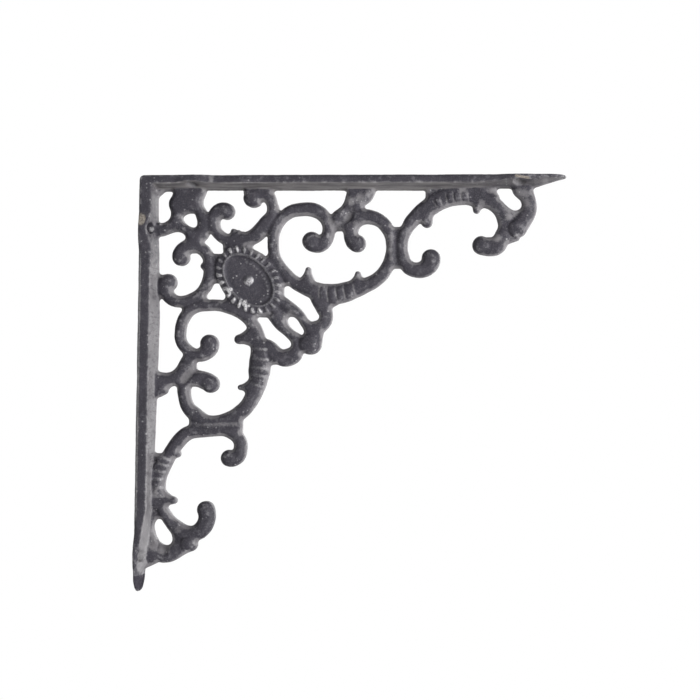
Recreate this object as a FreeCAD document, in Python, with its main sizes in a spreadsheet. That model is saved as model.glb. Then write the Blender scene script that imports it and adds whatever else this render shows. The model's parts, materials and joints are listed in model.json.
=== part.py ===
"""Ornamental cast-iron shelf bracket: two T legs at a right angle with a web of scrolls between them.

Frame, in millimetres: X runs out from the wall, Z is up, and the web's mid-plane is Y = 0. The wall plane is X = 0 and
the origin is at the centre of the four wall screw holes. Bodies are drawn from the corner where the wall and shelf
planes meet, and are raised so that this corner stands above the origin.
"""
import FreeCAD
import Part

import math
import os

from FreeCAD import Placement, Rotation, Vector

doc = FreeCAD.newDocument("shelf_bracket")

# Driving dimensions: alias, value in millimetres, meaning
SIZES = [
    ("shelf_leg_length", 204.0, "wall plane to the end of the shelf leg"),
    ("wall_leg_length", 200.5, "shelf plane to the foot of the wall leg"),
    ("flange_width", 20.0, "width of both legs across the web"),
    ("ear_width", 23.0, "width of a leg at its screw holes"),
    ("ear_length", 16.0, "length of a screw ear along its leg"),
    ("shelf_crest_start", 6.7, "shelf leg thickness on the mid-plane at the wall"),
    ("shelf_crest_middle", 7.0, "shelf leg thickness on the mid-plane where it is thickest"),
    ("shelf_crest_end", 5.8, "shelf leg thickness on the mid-plane at its outer ear"),
    ("shelf_edge", 4.0, "shelf leg thickness at its near and far edges"),
    ("shelf_tip_length", 14.5, "length of the pointed end of the shelf leg"),
    ("wall_crest_start", 6.9, "wall leg thickness on the mid-plane at the shelf"),
    ("wall_crest_middle", 8.9, "wall leg thickness on the mid-plane where it is thickest"),
    ("wall_crest_end", 6.2, "wall leg thickness on the mid-plane at its lower ear"),
    ("wall_edge", 6.2, "wall leg thickness at its near edge"),
    ("wall_far_edge", 4.6, "wall leg thickness at its far edge"),
    ("wall_tip_length", 13.5, "length of the pointed foot of the wall leg"),
    ("tip_thickness", 0.9, "thickness left at the end of either leg"),
    ("tip_radius", 8.0, "corner radius of a leg's end, seen square on"),
    ("back_chamfer", 1.2, "chamfer on the outer long edges between the ears"),
    ("corner_radius", 2.0, "radius of the outer corner of the bracket"),
    ("screw_hole", 5.5, "diameter of the screw holes"),
    ("screw_offset", 7.0, "distance of the screw holes from the mid-plane"),
    ("shelf_screw_start", 25.5, "wall plane to the inner screw holes of the shelf leg"),
    ("shelf_screw_end", 21.5, "centre of the outer holes back from the shelf leg's end"),
    ("wall_screw_start", 25.5, "shelf plane to the upper screw holes of the wall leg"),
    ("wall_screw_end", 17.5, "centre of the lower holes back from the wall leg's foot"),
    ("shelf_ear_edge", 3.5, "shelf leg thickness at its edges beside the inner screw holes"),
    ("shelf_end_edge", 2.5, "shelf leg thickness at its edges beside the outer screw holes"),
    ("wall_ear_edge", 4.3, "wall leg thickness at its near edge beside the upper screw holes"),
    ("wall_end_edge", 2.4, "wall leg thickness at its near edge beside the lower screw holes"),
    ("web_thickness", 8.0, "thickness of the scroll web"),
    ("land_height", 3.2, "height of the upright wall at the casting's parting line"),
    ("crown_inset", 1.8, "how far a strand's face draws in from its widest outline"),
    ("bridge_thickness", 5.6, "thickness of the fillets that fill the angles between strands"),
    ("strand_width", 5.6, "width of a plain strand of the web"),
    ("medallion_length", 37.4, "long axis of the medallion"),
    ("medallion_width", 27.0, "short axis of the medallion"),
    ("petal_width", 3.3, "radial width of the medallion's petal ring"),
    ("rim_width", 1.2, "radial width of the medallion's rim"),
    ("petal_thickness", 8.8, "thickness of the petal ring across the web"),
    ("rim_thickness", 9.6, "thickness of the rim across the web"),
    ("plate_thickness", 8.2, "thickness of the plate inside the rim"),
    ("boss_diameter", 4.0, "diameter of the medallion's centre boss"),
    ("boss_height", 1.0, "height of the boss above the plate, on each face"),
    ("ball_diameter", 10.4, "diameter of the finial ball"),
]

sheet = doc.addObject("Spreadsheet::Sheet", "sizes")
for row, (alias, value, meaning) in enumerate(SIZES, start=1):
    sheet.set(f"A{row}", meaning)
    sheet.set(f"B{row}", str(value))
    sheet.setAlias(f"B{row}", alias)
doc.recompute()


def size(alias):
    """Value of one driving dimension."""
    return float(sheet.get(alias))


# The scrolls are drawn on a sheet for legs of these lengths and stretch with the legs
DRAWN_SHELF_LEG = 204.0
DRAWN_WALL_LEG = 200.5
STRETCH_X = size("shelf_leg_length") / DRAWN_SHELF_LEG
STRETCH_Z = size("wall_leg_length") / DRAWN_WALL_LEG

# Height of the corner of the wall and shelf planes above the origin
CORNER_HEIGHT = "(sizes.wall_screw_start + sizes.wall_leg_length - sizes.wall_screw_end) / 2"

nodes = {}


def new_body(name, turn=Rotation()):
    """Empty body with its own origin at the corner of the wall and shelf planes."""
    body = doc.addObject("PartDesign::Body", f"{name}_body")
    body.Placement = Placement(Vector(0, 0, 0), turn)
    body.setExpression("Placement.Base.z", CORNER_HEIGHT)
    return body


def drawn(x, z):
    """Point of the web in sketch coordinates, from its place on the drawing."""
    return Vector(x * STRETCH_X, z * STRETCH_Z, 0)


def origin_plane(body, role):
    """One of a body's own origin planes."""
    return next(f for f in body.Origin.OriginFeatures if f.Role == role)


def new_sketch(body, name, role="XZ_Plane", offset=None):
    """Empty sketch on an origin plane, with an optional expression for its distance from that plane."""
    sketch = body.newObject("Sketcher::SketchObject", name)
    sketch.AttachmentSupport = [(origin_plane(body, role), "")]
    sketch.MapMode = "FlatFace"
    if offset:
        sketch.setExpression("AttachmentOffset.Base.z", offset)
    return sketch


def add_polygon(sketch, points):
    """Closed run of straight lines."""
    for start, end in zip(points, points[1:] + points[:1]):
        sketch.addGeometry(Part.LineSegment(start, end), False)


# Legs

LOFT_MARGIN = 2.0
THINNEST_EDGE = 0.2

# Share of each leg's length where it is thickest, and the bend in its pointed end: place and height as shares
THICKEST = {"shelf": 0.65, "wall": 0.34}
TIP_BEND = {"shelf": (0.42, 0.52), "wall": (0.7, 0.36)}
TIP_EDGE = 0.7

# Where the edges begin to thin before the outer ear, in ear lengths back from the screw holes
EAR_LEAD = 1.4


def crest_along(kind, along):
    """Thickness of a leg on the mid-plane at a distance along it."""
    thickest = THICKEST[kind] * size(f"{kind}_leg_length")
    tip_start = size(f"{kind}_leg_length") - size(f"{kind}_tip_length")
    middle = size(f"{kind}_crest_middle")
    if along < thickest:
        start = size(f"{kind}_crest_start")
        return start + (middle - start) * along / thickest
    share = min(1.0, (along - thickest) / (tip_start - thickest))
    return middle + (size(f"{kind}_crest_end") - middle) * share


def leg_section(body, name, place, crest, near_edge, far_edge):
    """Roof-shaped section of a leg: flat on the outside, highest on the mid-plane inside."""
    half = size("ear_width") / 2 + LOFT_MARGIN
    reach = half / (size("flange_width") / 2)
    near = max(crest - (crest - near_edge) * reach, THINNEST_EDGE * crest)
    far = max(crest - (crest - far_edge) * reach, THINNEST_EDGE * crest)
    sketch = new_sketch(body, name, "YZ_Plane", place)
    add_polygon(sketch, [Vector(-half, 0, 0), Vector(half, 0, 0), Vector(half, far, 0), Vector(0, crest, 0),
                         Vector(-half, near, 0)])
    return sketch


def leg_plan(length, screws):
    """Half outline of a leg seen square on: straight side, swollen at the ears, rounded end."""
    side = size("flange_width") / 2
    swell = size("ear_width") / 2
    reach = size("ear_length") / 2
    corner = size("tip_radius")
    curves = []
    at = Vector(0, side, 0)
    for screw in screws:
        start = Vector(screw - reach, side, 0)
        end = Vector(screw + reach, side, 0)
        curves.append(Part.LineSegment(at, start))
        curves.append(Part.Arc(start, Vector(screw, swell, 0), end))
        at = end
    turn = Vector(length - corner, side, 0)
    if turn.x - at.x > 0.01:
        curves.append(Part.LineSegment(at, turn))
        at = turn
    bend = corner * math.sqrt(0.5)
    stop = Vector(length, side - corner, 0)
    middle = Vector(length - corner + bend, side - corner + bend, 0)
    curves.append(Part.Arc(at, middle, stop))
    curves.append(Part.LineSegment(stop, Vector(length, 0, 0)))
    return curves


def edges_where(shape, test):
    """Names of the edges whose middle point passes a test."""
    names = []
    for index, edge in enumerate(shape.Edges, start=1):
        middle = edge.valueAt((edge.FirstParameter + edge.LastParameter) / 2)
        if test(edge, middle):
            names.append(f"Edge{index}")
    return names


def add_circles(sketch, centres, diameter):
    """Circles of one diameter."""
    for centre in centres:
        sketch.addGeometry(Part.Circle(centre, Vector(0, 0, 1), diameter / 2), False)


def make_leg(kind, turn):
    """One leg, built along its own +X with its outer face on its own XY plane."""
    name = f"{kind}_leg"
    length = size(f"{kind}_leg_length")
    crest_end = size(f"{kind}_crest_end")
    side = size("flange_width") / 2
    screws = [size(f"{kind}_screw_start"), length - size(f"{kind}_screw_end")]
    body = new_body(name, turn)

    # Sections from the root to the point, with thinner edges at the screw holes. The shelf leg starts inside the
    # wall leg.
    end = f"sizes.{kind}_leg_length"
    tip_start = f"{end} - sizes.{kind}_tip_length"
    first_screw = f"sizes.{kind}_screw_start"
    last_screw = f"{end} - sizes.{kind}_screw_end"
    root = None if kind == "wall" else "sizes.wall_crest_start / 2"
    bend, bend_height = TIP_BEND[kind]
    edge = size(f"{kind}_edge")
    ear_edge = size(f"{kind}_ear_edge")
    end_edge = size(f"{kind}_end_edge")
    far_share = size("wall_far_edge") / edge if kind == "wall" else 1.0
    reach = size("ear_length") / 2
    tip = size("tip_thickness")
    stations = [
        ("root", root, 0.0, edge),
        ("before_ear", f"{first_screw} - sizes.ear_length / 2", screws[0] - reach, edge),
        ("ear", first_screw, screws[0], ear_edge),
        ("after_ear", f"{first_screw} + sizes.ear_length / 2", screws[0] + reach, edge),
        ("middle", f"{THICKEST[kind]} * {end}", THICKEST[kind] * length, edge),
        ("before_end_ear", f"{last_screw} - {EAR_LEAD} * sizes.ear_length", screws[1] - EAR_LEAD * 2 * reach, edge),
        ("end_ear", last_screw, screws[1], end_edge),
        ("tip_start", tip_start, length, end_edge),
    ]
    sections = []
    for label, place, along, near_edge in stations:
        crest = crest_along(kind, along)
        sections.append(leg_section(body, f"{name}_{label}", place, crest, near_edge, far_share * near_edge))
    bend_edge = end_edge * bend_height
    sections.append(leg_section(body, f"{name}_bend", f"{end} - {bend} * sizes.{kind}_tip_length",
                                crest_end * bend_height, bend_edge, far_share * bend_edge))
    sections.append(leg_section(body, f"{name}_point", end, tip, TIP_EDGE * tip, TIP_EDGE * tip))
    bar = body.newObject("PartDesign::AdditiveLoft", f"{name}_bar")
    bar.Profile = sections[0]
    bar.Sections = sections[1:]
    bar.Ruled = True

    surround = new_sketch(body, f"{name}_surround", "XY_Plane")
    for curve in leg_plan(length, screws):
        surround.addGeometry(curve, False)
        mirrored = curve.copy()
        mirrored.mirror(Vector(0, 0, 0), Vector(1, 0, 0))
        surround.addGeometry(mirrored, False)
    margin = size("ear_width")
    beyond = length + margin
    frame = [Vector(0, side, 0), Vector(0, margin, 0), Vector(beyond, margin, 0), Vector(beyond, -margin, 0),
             Vector(0, -margin, 0), Vector(0, -side, 0)]
    for start, end in zip(frame, frame[1:]):
        surround.addGeometry(Part.LineSegment(start, end), False)
    plan = body.newObject("PartDesign::Pocket", f"{name}_plan")
    plan.Profile = surround
    plan.Type = "ThroughAll"
    plan.Midplane = True
    doc.recompute()

    chamfer = body.newObject("PartDesign::Chamfer", f"{name}_back_edges")
    long_sides = edges_where(
        plan.Shape, lambda edge, p: abs(p.z) < 1e-6 and abs(abs(p.y) - side) < 1e-6
        and screws[0] < p.x < screws[1] and edge.Length > side)
    chamfer.Base = (plan, long_sides)
    chamfer.setExpression("Size", "sizes.back_chamfer")

    holes = new_sketch(body, f"{name}_screw_centres", "XY_Plane")
    across = size("screw_offset")
    add_circles(holes, [Vector(screw, sign * across, 0) for screw in screws for sign in (-1, 1)], size("screw_hole"))
    drill = body.newObject("PartDesign::Pocket", f"{name}_screw_holes")
    drill.Profile = holes
    drill.Type = "ThroughAll"
    drill.Midplane = True
    doc.recompute()

    if kind == "wall":
        corner = body.newObject("PartDesign::Fillet", f"{name}_outer_corner")
        corner.Base = (drill, edges_where(drill.Shape, lambda edge, p: abs(p.x) < 1e-6 and abs(p.z) < 1e-6))
        corner.setExpression("Radius", "sizes.corner_radius")
        doc.recompute()
    return body


wall_leg = make_leg("wall", Rotation(Vector(0, 1, 0), 90))
shelf_leg = make_leg("shelf", Rotation(Vector(1, 0, 0), 180))


# Web of scrolls
# A strand is drawn by its centre line. Each point is (x, z, width), with the width as a multiple of the plain strand.

SAMPLE_STEP = 2.5
SHOULDER_LEVEL = 0.72
SHOULDER_INSET = 0.28
INSET_LIMIT = 0.6
PLATE_INSET = 0.75

UPPER_LOOP = [
    (83.2, -31.1, 1.65), (87.5, -32.5, 1.25), (90.5, -29.3, 1.1), (90.8, -22.3, 1.05), (84.5, -16.3, 1.22),
    (78, -15.8, 1.12), (72, -17.2, 1.07), (67.8, -21, 0.9), (64.8, -26.5, 0.9), (64.2, -32.5, 0.9), (65, -38.2, 0.9),
    (69, -44.6, 0.9), (72.4, -48.4, 1.0), (76.6, -51.6, 1.15), (81.5, -53.4, 1.4), (86.5, -55.3, 1.6),
    (93, -56.3, 1.75), (99, -55.5, 1.7), (105, -53.4, 1.52), (111, -51.3, 1.22), (115.3, -48.7, 1.12),
    (118.5, -45.3, 1.1), (121, -40, 1.0), (121.8, -34, 0.85), (121, -29, 0.85), (119, -24.2, 1.1), (115.2, -20.8, 1.15),
    (111, -19.4, 1.25), (106.5, -19.6, 1.35), (103, -22.6, 1.28), (102, -27.5, 1.2), (105, -32.1, 1.5),
]
LOWER_LOOP = [
    (33.7, -80.7, 1.6), (31.2, -85.2, 1.3), (26.5, -86, 1.1), (22.5, -83.5, 0.95), (19.7, -80, 0.9), (19.1, -75, 0.9),
    (20.1, -70, 0.95), (22.6, -65.8, 0.95), (26.5, -63, 1.0), (31.5, -62.2, 1.0), (37, -62, 1.0), (42.5, -63, 1.05),
    (48.3, -65.3, 1.05), (52.8, -68.8, 1.0), (55.8, -72.8, 1.1), (57.5, -78, 1.25), (58.8, -83.5, 1.65),
    (58.8, -88.5, 1.85), (58.3, -94, 1.8), (57.8, -98.5, 1.5), (56.2, -103.5, 1.35), (53.9, -108.4, 1.25),
    (49.8, -113.1, 1.25), (44.4, -115.9, 1.05), (38.5, -117.5, 0.95), (32.5, -117.5, 1.0), (27.5, -115, 1.2),
    (23.3, -111, 1.08), (21.8, -106.5, 1.05), (21.5, -101.5, 1.15), (23.5, -98, 1.35), (27, -97.3, 1.45), (34.5, -99.9, 1.55),
]
SHELF_SCROLL = [
    (163, -9, 1.6), (157, -9, 1.6), (152, -9.4, 1.6), (147, -10.6, 1.6), (138.3, -15.6, 1.5), (131, -21.7, 1.15),
    (128.4, -26.3, 0.95), (127, -31, 0.9), (127, -35.5, 0.9), (128, -40, 1.0), (130, -43.2, 1.2), (133.5, -44.5, 1.3),
    (137.3, -44.1, 1.4), (140.7, -39, 1.58),
]
WALL_SCROLL = [
    (10, -158, 1.2), (9, -152, 1.4), (8.8, -147, 1.45), (10.4, -142, 1.4), (13, -137.5, 1.25), (15.9, -132.2, 1.15),
    (19.4, -127.5, 1.2), (23.5, -123.9, 1.2), (29.5, -122.8, 1.08), (35.5, -122.6, 0.98), (41.5, -122.5, 0.9),
    (46.5, -124, 1.05), (49.4, -127, 1.1), (49.8, -131, 1.15), (48, -135, 1.25), (44.5, -135.4, 1.45),
]
LEFT_CORNER_SCROLL = [
    (18.9, -39, 1.5), (20.9, -34.4, 1.2), (24.6, -33.5, 1.25), (29, -34.8, 1.05), (32.3, -38.5, 1.0), (33.4, -44, 1.1),
    (32.5, -50.3, 1.0), (29, -56, 0.9), (24, -59.2, 0.95), (18.5, -60.5, 1.0), (13.5, -58.5, 1.05), (11.5, -54.5, 1.3),
    (12.8, -51.2, 1.5),
]
UPPER_CORNER_SCROLL = [
    (41.2, -16.9, 1.4), (37, -16.9, 1.25), (34.7, -21, 1.12), (36.4, -26.7, 0.95), (41, -30.2, 1.0), (47, -30.6, 1.38),
    (52.5, -29.8, 1.25), (57.1, -26.9, 1.3), (60.5, -22.7, 1.25), (63.9, -17.6, 1.05), (63.1, -12.5, 0.9),
    (61, -9.3, 1.25), (57.5, -8.6, 1.3), (54.3, -10.2, 1.7),
]
SHELF_END_SCROLL = [
    (158, -10, 1.3), (163.5, -11, 1.35), (169.3, -12.6, 1.3), (173, -15.8, 1.25), (175.7, -20.5, 1.4),
    (175.9, -25, 1.3), (174, -29.5, 1.4), (171.5, -33, 1.5), (167.5, -33.3, 1.6), (164.8, -32.8, 1.6),
]
SHELF_DROP = [
    (183.7, -3, 1.7), (184.2, -7.3, 1.6), (186.3, -12, 1.35), (187, -15.5, 1.2), (185.6, -19.3, 1.25),
    (181.7, -24.9, 1.45),
]
WALL_END_SCROLL = [
    (8.6, -153.5, 1.1), (11.5, -160, 0.85), (14.5, -165, 0.95), (18.7, -169.2, 1.2), (24, -171.9, 1.3),
    (29, -171.5, 1.4), (32.3, -168.5, 1.4), (33.8, -164.5, 1.4), (33.3, -160.5, 1.5),
]
WALL_DROP = [(3.8, -181.6, 1.7), (10.5, -182.1, 1.5), (15, -182, 1.5), (19.5, -179.8, 1.45), (25.5, -177, 1.4)]
FINIAL_LEFT = [
    (63.8, -62.4, 1.3), (65, -65, 1.3), (67.5, -69.5, 1.1), (72.5, -75, 0.8), (75.5, -78, 0.82), (76.8, -81.7, 1.1),
    (74.8, -85.4, 1.45), (71.5, -86.9, 1.55), (67.3, -85.9, 1.35), (64.3, -82.7, 1.15), (60.5, -80.5, 0.9),
]
FINIAL_RIGHT = [
    (67.3, -59, 1.0), (70, -60.8, 1.0), (73.6, -62.9, 0.85), (76.9, -65.3, 0.75), (79.5, -68.8, 0.75), (82, -71.8, 1.0),
    (85.5, -72.5, 1.2), (89.3, -70.5, 1.1), (90.7, -67, 1.1), (89.6, -63.5, 1.25), (86.5, -58, 1.3),
]
FINIAL_BALL = (83.3, -80.1)

# Small thorns: root and point, with their widths
UPPER_SPURS = [[(81, -52, 1.5), (81.7, -44.6, 0.45)], [(105.8, -52, 1.7), (105.8, -46.5, 0.45)]]
LOWER_SPURS = [[(56, -76.8, 1.8), (48.4, -78.3, 0.85)], [(56.5, -101, 1.7), (49.5, -101.4, 0.5)]]
SHELF_SPURS = [[(138.4, -17, 1.15), (138.4, -22, 0.9)], [(163, -11.5, 1.8), (162, -16.3, 0.55)]]
WALL_SPURS = [[(11, -156, 1.7), (17, -156.4, 0.65)], [(15.3, -133, 1.25), (18.3, -133.8, 0.72)]]
CORNER_SPURS = [[(46.3, -30.6, 1.2), (44.9, -26.4, 0.5)], [(33.4, -43, 1.2), (30.5, -43.3, 0.6)]]

# Fillets of the casting: short bridges that fill the narrow angle between two strands
BRIDGES = {
    "corner_leaf": [[(5, -5.2, 0.7), (16, -5.2, 0.7)], [(4, -9.8, 0.8), (9.3, -5, 0.8)]],
    "left_corner_scroll": [[(34, -40.5, 1.2), (39.5, -40.5, 1.2)], [(33.5, -48.3, 1.15), (39.5, -48.3, 1.15)],
                           [(33.5, -44.4, 0.9), (39.5, -44.4, 0.9)],
                           [(4.6, -50.6, 1.2), (12, -50.9, 1.2)], [(23.4, -33.5, 1.0), (24.2, -28, 1.0)]],
    "upper_corner_scroll": [[(43, -30, 1.18), (43, -35.8, 1.18)], [(50.3, -30, 1.2), (50.9, -36.3, 1.2)],
                            [(46.6, -30, 0.9), (46.8, -36, 0.9)]],
    "upper_left_volute": [[(61.4, -40, 1.05), (66, -40.6, 1.05)], [(66.3, -50.4, 1.0), (74, -49.3, 1.0)],
                          [(64.8, -45.2, 1.1), (69, -44.6, 1.1)]],
    "lower_upper_volute": [[(29.2, -55.5, 0.9), (29.2, -62, 0.9)], [(44.5, -57.8, 1.1), (43.2, -63, 1.1)],
                           [(49.3, -61.2, 1.1), (48.4, -65.3, 1.1)]],
    "shelf_scroll": [[(120.5, -27.5, 1.2), (128, -27.5, 1.2)], [(120.5, -40.8, 1.18), (128.5, -40.8, 1.18)],
                     [(121.5, -34.2, 1.4), (127, -34.2, 1.4)], [(141.3, -3.5, 1.25), (141.3, -13, 1.25)]],
    "shelf_end_scroll": [[(166, -4.6, 1.2), (170, -11.5, 1.2)]],
    "shelf_drop": [[(176.5, -19.2, 1.1), (185, -18.6, 1.1)], [(175.5, -30.2, 0.85), (181.6, -28, 0.85)]],
    "wall_scroll": [[(28, -115.5, 1.25), (28, -123.5, 1.25)], [(47.2, -114.5, 1.25), (47, -125, 1.25)],
                    [(37.5, -117, 2.4), (37.5, -122.6, 2.4)], [(4.5, -136.5, 1.0), (12, -136.5, 1.0)]],
    "wall_end_scroll": [[(4.5, -163, 1.0), (12, -162.5, 1.0)]],
    "wall_drop": [[(19.6, -169, 1.03), (19.6, -180, 1.03)], [(2.5, -187.2, 0.9), (8.5, -184.4, 0.9)]],
    "finial_left_strand": [[(54.5, -65.3, 0.8), (65, -65.5, 0.8)], [(61.5, -88.5, 0.78), (69, -87.5, 0.9)]],
    "finial_right_strand": [[(86.2, -72, 1.25), (86, -79, 1.0)], [(90, -62.4, 0.6), (95.5, -59.8, 0.6)]],
}

# Thin ground between two strands and the opening through it: owner, outline of the ground, outline of the opening
GROUNDS = {
    "finial_right_strand": (
        [(69, -60.6), (66.8, -65.5), (67.6, -69), (72, -74.4), (76.4, -78.8), (80.6, -78), (82, -73.5), (79.6, -68.8),
         (76, -64.7), (72.5, -62)],
        [(74, -67.2), (71.5, -68.5), (72.6, -71.6), (75.1, -73.9), (78.6, -75.6), (80.2, -75.9), (78.5, -71),
         (76.5, -68.2)]),
    "wall_drop": (
        [(5.2, -163.4), (4.4, -168), (4.6, -176), (7, -182), (13, -182.6), (18.5, -179.6), (18.8, -173.6),
         (15, -168), (11, -163.8)],
        [(9.9, -165.3), (7.4, -168), (7.9, -172), (10.6, -176.5), (14, -178), (16.8, -176.9), (17.3, -174.2),
         (13.6, -168)]),
    "shelf_drop": (
        [(172, -4.2), (170.4, -8), (172, -13), (175.2, -18), (179, -20.6), (184, -19.6), (186.2, -14), (184, -8),
         (181.5, -4.4), (177, -3.4)],
        [(174.6, -3.6), (171.4, -5.4), (172.6, -10.2), (175.8, -13.6), (181, -16.4), (183, -15.2), (183.4, -13.2),
         (179.2, -8.2), (178, -4.6)]),
}

# Closed outlines, as places on the drawing, listed counter-clockwise
CORNER_LEAF = [
    (15, -5), (14.4, -9), (12.6, -13), (13.9, -18.2), (11, -22.2), (4.5, -22.6), (2.8, -25.4), (4.5, -28.2), (10.5, -28.5),
    (16, -26.7), (20.5, -28), (25, -31.8), (30, -31.2), (33, -26), (31.5, -17.2), (29.1, -13), (30.3, -8.5), (30.8, -5),
    (27.5, -2.4), (23, -1.8), (18.5, -2.4),
]
LEAF_OPENING = [(23.2, -17.7), (19.2, -20.5), (21.6, -23.3), (26.9, -24.2), (26.6, -20)]
SHELF_STEM = [
    (100.2, -5), (99.6, -9.5), (97.6, -14.2), (92.9, -18), (92.4, -22.4), (96, -26.4), (101.5, -22), (104.3, -17.5),
    (107.4, -14.6), (111.9, -11), (113.4, -7.5), (113.6, -5), (111, -2.4), (107, -1.8), (103, -2.4),
]
WALL_STEM = [
    (6, -94.6), (3.4, -97.2), (2.8, -100.6), (3.4, -104), (6, -106.6), (10, -106.4), (12.7, -104.5), (15.2, -101.5),
    (20.5, -101.5), (25, -96), (27.5, -91.9), (25.8, -88), (22.5, -85.5), (19.4, -89), (16.5, -93.4), (11, -94.7),
]


def smooth_step(share):
    """Eased share, level at both ends, so that a strand's width has no kink at its points."""
    return share * share * (3 - 2 * share)


class CentreLine:
    """Smooth curve through a strand's points, with the width at any place on it."""

    def __init__(self, points):
        places = [drawn(x, z) for x, z, _ in points]
        self.widths = [width * size("strand_width") for _, _, width in points]
        if len(places) == 2:
            self.curve = Part.LineSegment(*places).toBSpline()
        else:
            self.curve = Part.BSplineCurve()
            self.curve.interpolate(places)
        self.stops = [self.curve.parameter(place) for place in places]

    def width(self, parameter):
        """Width at a parameter of the curve."""
        for index in range(len(self.stops) - 1):
            start, end = self.stops[index], self.stops[index + 1]
            if parameter <= end:
                share = smooth_step(max(0.0, (parameter - start) / (end - start)))
                return self.widths[index] + share * (self.widths[index + 1] - self.widths[index])
        return self.widths[-1]

    def frame(self, parameter):
        """Place, direction and left-hand normal at a parameter."""
        along = self.curve.tangent(parameter)[0]
        return self.curve.value(parameter), along, Vector(-along.y, along.x, 0)

    def outline(self, first, last, flat_start, flat_end, inset):
        """Closed outline between two of the points, drawn in by an inset, with round or flat ends."""
        start, end = self.stops[first], self.stops[last]
        length = self.curve.length(start, end)
        count = max(4, round(length / SAMPLE_STEP))
        left, right = [], []
        for index in range(count + 1):
            parameter = self.curve.parameterAtDistance(length * index / count, start)
            place, _, normal = self.frame(parameter)
            half = self.half_width(parameter, inset)
            left.append(place + normal * half)
            right.append(place - normal * half)
        sides = []
        for points in (left, right[::-1]):
            side = Part.BSplineCurve()
            side.interpolate(points)
            sides.append(side)
        end_cap = self.end_cap(end, 1, flat_end, left[-1], right[-1], inset)
        start_cap = self.end_cap(start, -1, flat_start, right[0], left[0], inset)
        return [sides[0], end_cap, sides[1], start_cap]

    def half_width(self, parameter, inset):
        """Half width at a parameter once the outline is drawn in."""
        half = self.width(parameter) / 2
        return half - min(inset, INSET_LIMIT * half)

    def end_cap(self, parameter, sign, flat, start, end, inset):
        """Straight or round end from one side of the strand to the other."""
        if flat:
            return Part.LineSegment(start, end)
        place, along, _ = self.frame(parameter)
        tip = place + along * (sign * self.half_width(parameter, inset))
        return Part.Arc(start, tip, end)


def closed_outline(points, inset):
    """Smooth closed outline through drawn points, drawn in along its normals by a share of an inset."""
    curve = Part.BSplineCurve()
    curve.interpolate(Points=[drawn(x, z) for x, z in points], PeriodicFlag=True)
    length = curve.length()
    count = round(length / SAMPLE_STEP)
    moved = []
    for index in range(count):
        parameter = curve.parameterAtDistance(length * index / count, curve.FirstParameter)
        along = curve.tangent(parameter)[0]
        moved.append(curve.value(parameter) + Vector(-along.y, along.x, 0) * (PLATE_INSET * inset))
    drawn_in = Part.BSplineCurve()
    drawn_in.interpolate(Points=moved, PeriodicFlag=True)
    return [drawn_in]


def add_crowned(body, name, outline_at, thickness="web_thickness"):
    """Adds a casting shape on both sides of the mid-plane: upright at the parting line, crowned towards each face."""
    crown = size("crown_inset")
    half = f"sizes.{thickness} / 2"
    land = "sizes.land_height / 2"
    levels = [(land, 0.0), (f"{land} + {SHOULDER_LEVEL} * ({half} - {land})", SHOULDER_INSET * crown), (half, crown)]
    far_side = [(f"-({level})", inset) for level, inset in reversed(levels)]
    sketches = []
    for index, (level, inset) in enumerate(far_side + levels):
        sketch = new_sketch(body, f"{name}_level_{index}", "XZ_Plane", level)
        for curve in outline_at(inset):
            sketch.addGeometry(curve, False)
        sketches.append(sketch)
    loft = body.newObject("PartDesign::AdditiveLoft", f"{name}_crowned")
    loft.Profile = sketches[0]
    loft.Sections = sketches[1:]
    loft.Ruled = True
    doc.recompute()


def strand(name, points, first=0, last=None, flat_start=False, flat_end=False):
    """A stretch of a scroll from one of its points to another, with the bridges that belong to it."""
    body = new_body(name)
    line = CentreLine(points)
    last = len(points) - 1 if last is None else last
    add_crowned(body, name, lambda inset: line.outline(first, last, flat_start, flat_end, inset))
    add_fillets(body, name)
    return body


def add_fillets(body, name):
    """Adds the bridges that belong to a piece, and the thin ground round an opening beside it."""
    for index, bridge in enumerate(BRIDGES.get(name, [])):
        span = CentreLine(bridge)
        add_crowned(body, f"{name}_bridge_{index}", lambda inset: span.outline(0, 1, True, True, inset),
                    "bridge_thickness")
    if name in GROUNDS:
        ground, opening = GROUNDS[name]
        add_crowned(body, f"{name}_ground", lambda inset: closed_outline(ground, inset), "bridge_thickness")
        pierce(body, name, opening)


def pierce(body, name, points):
    """Cuts an opening with a smooth closed outline through a piece."""
    sketch = new_sketch(body, f"{name}_drop")
    sketch.addGeometry(closed_outline(points, 0.0)[0], False)
    opening = body.newObject("PartDesign::Pocket", f"{name}_opening")
    opening.Profile = sketch
    opening.Type = "ThroughAll"
    opening.Midplane = True
    doc.recompute()


def plate(name, points):
    """A leaf or stem with a closed outline."""
    body = new_body(name)
    add_crowned(body, name, lambda inset: closed_outline(points, inset))
    add_fillets(body, name)
    return body


def trimmed(name, base, cutters):
    """A body less the neighbours that it runs into, so that their faces meet."""
    result = base
    for index, cutter in enumerate(cutters):
        cut = doc.addObject("Part::Cut", f"{name}_trim_{index}")
        cut.Base = result
        cut.Tool = cutter
        result = cut
    return result


# Medallion: petal ring, rim, plate and boss, one inside the other

MEDALLION = (53.3, -50.0)
DIAGONAL = math.sqrt(0.5)
BOSS_ROUNDING = 0.9


def medallion_ellipse(inset):
    """Oval of the medallion, drawn in by an inset, with its long axis down the diagonal of the bracket."""
    centre = drawn(*MEDALLION)
    long_half = size("medallion_length") / 2 - inset
    short_half = size("medallion_width") / 2 - inset
    return Part.Ellipse(centre + Vector(DIAGONAL, -DIAGONAL, 0) * long_half,
                        centre + Vector(DIAGONAL, DIAGONAL, 0) * short_half, centre)


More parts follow.
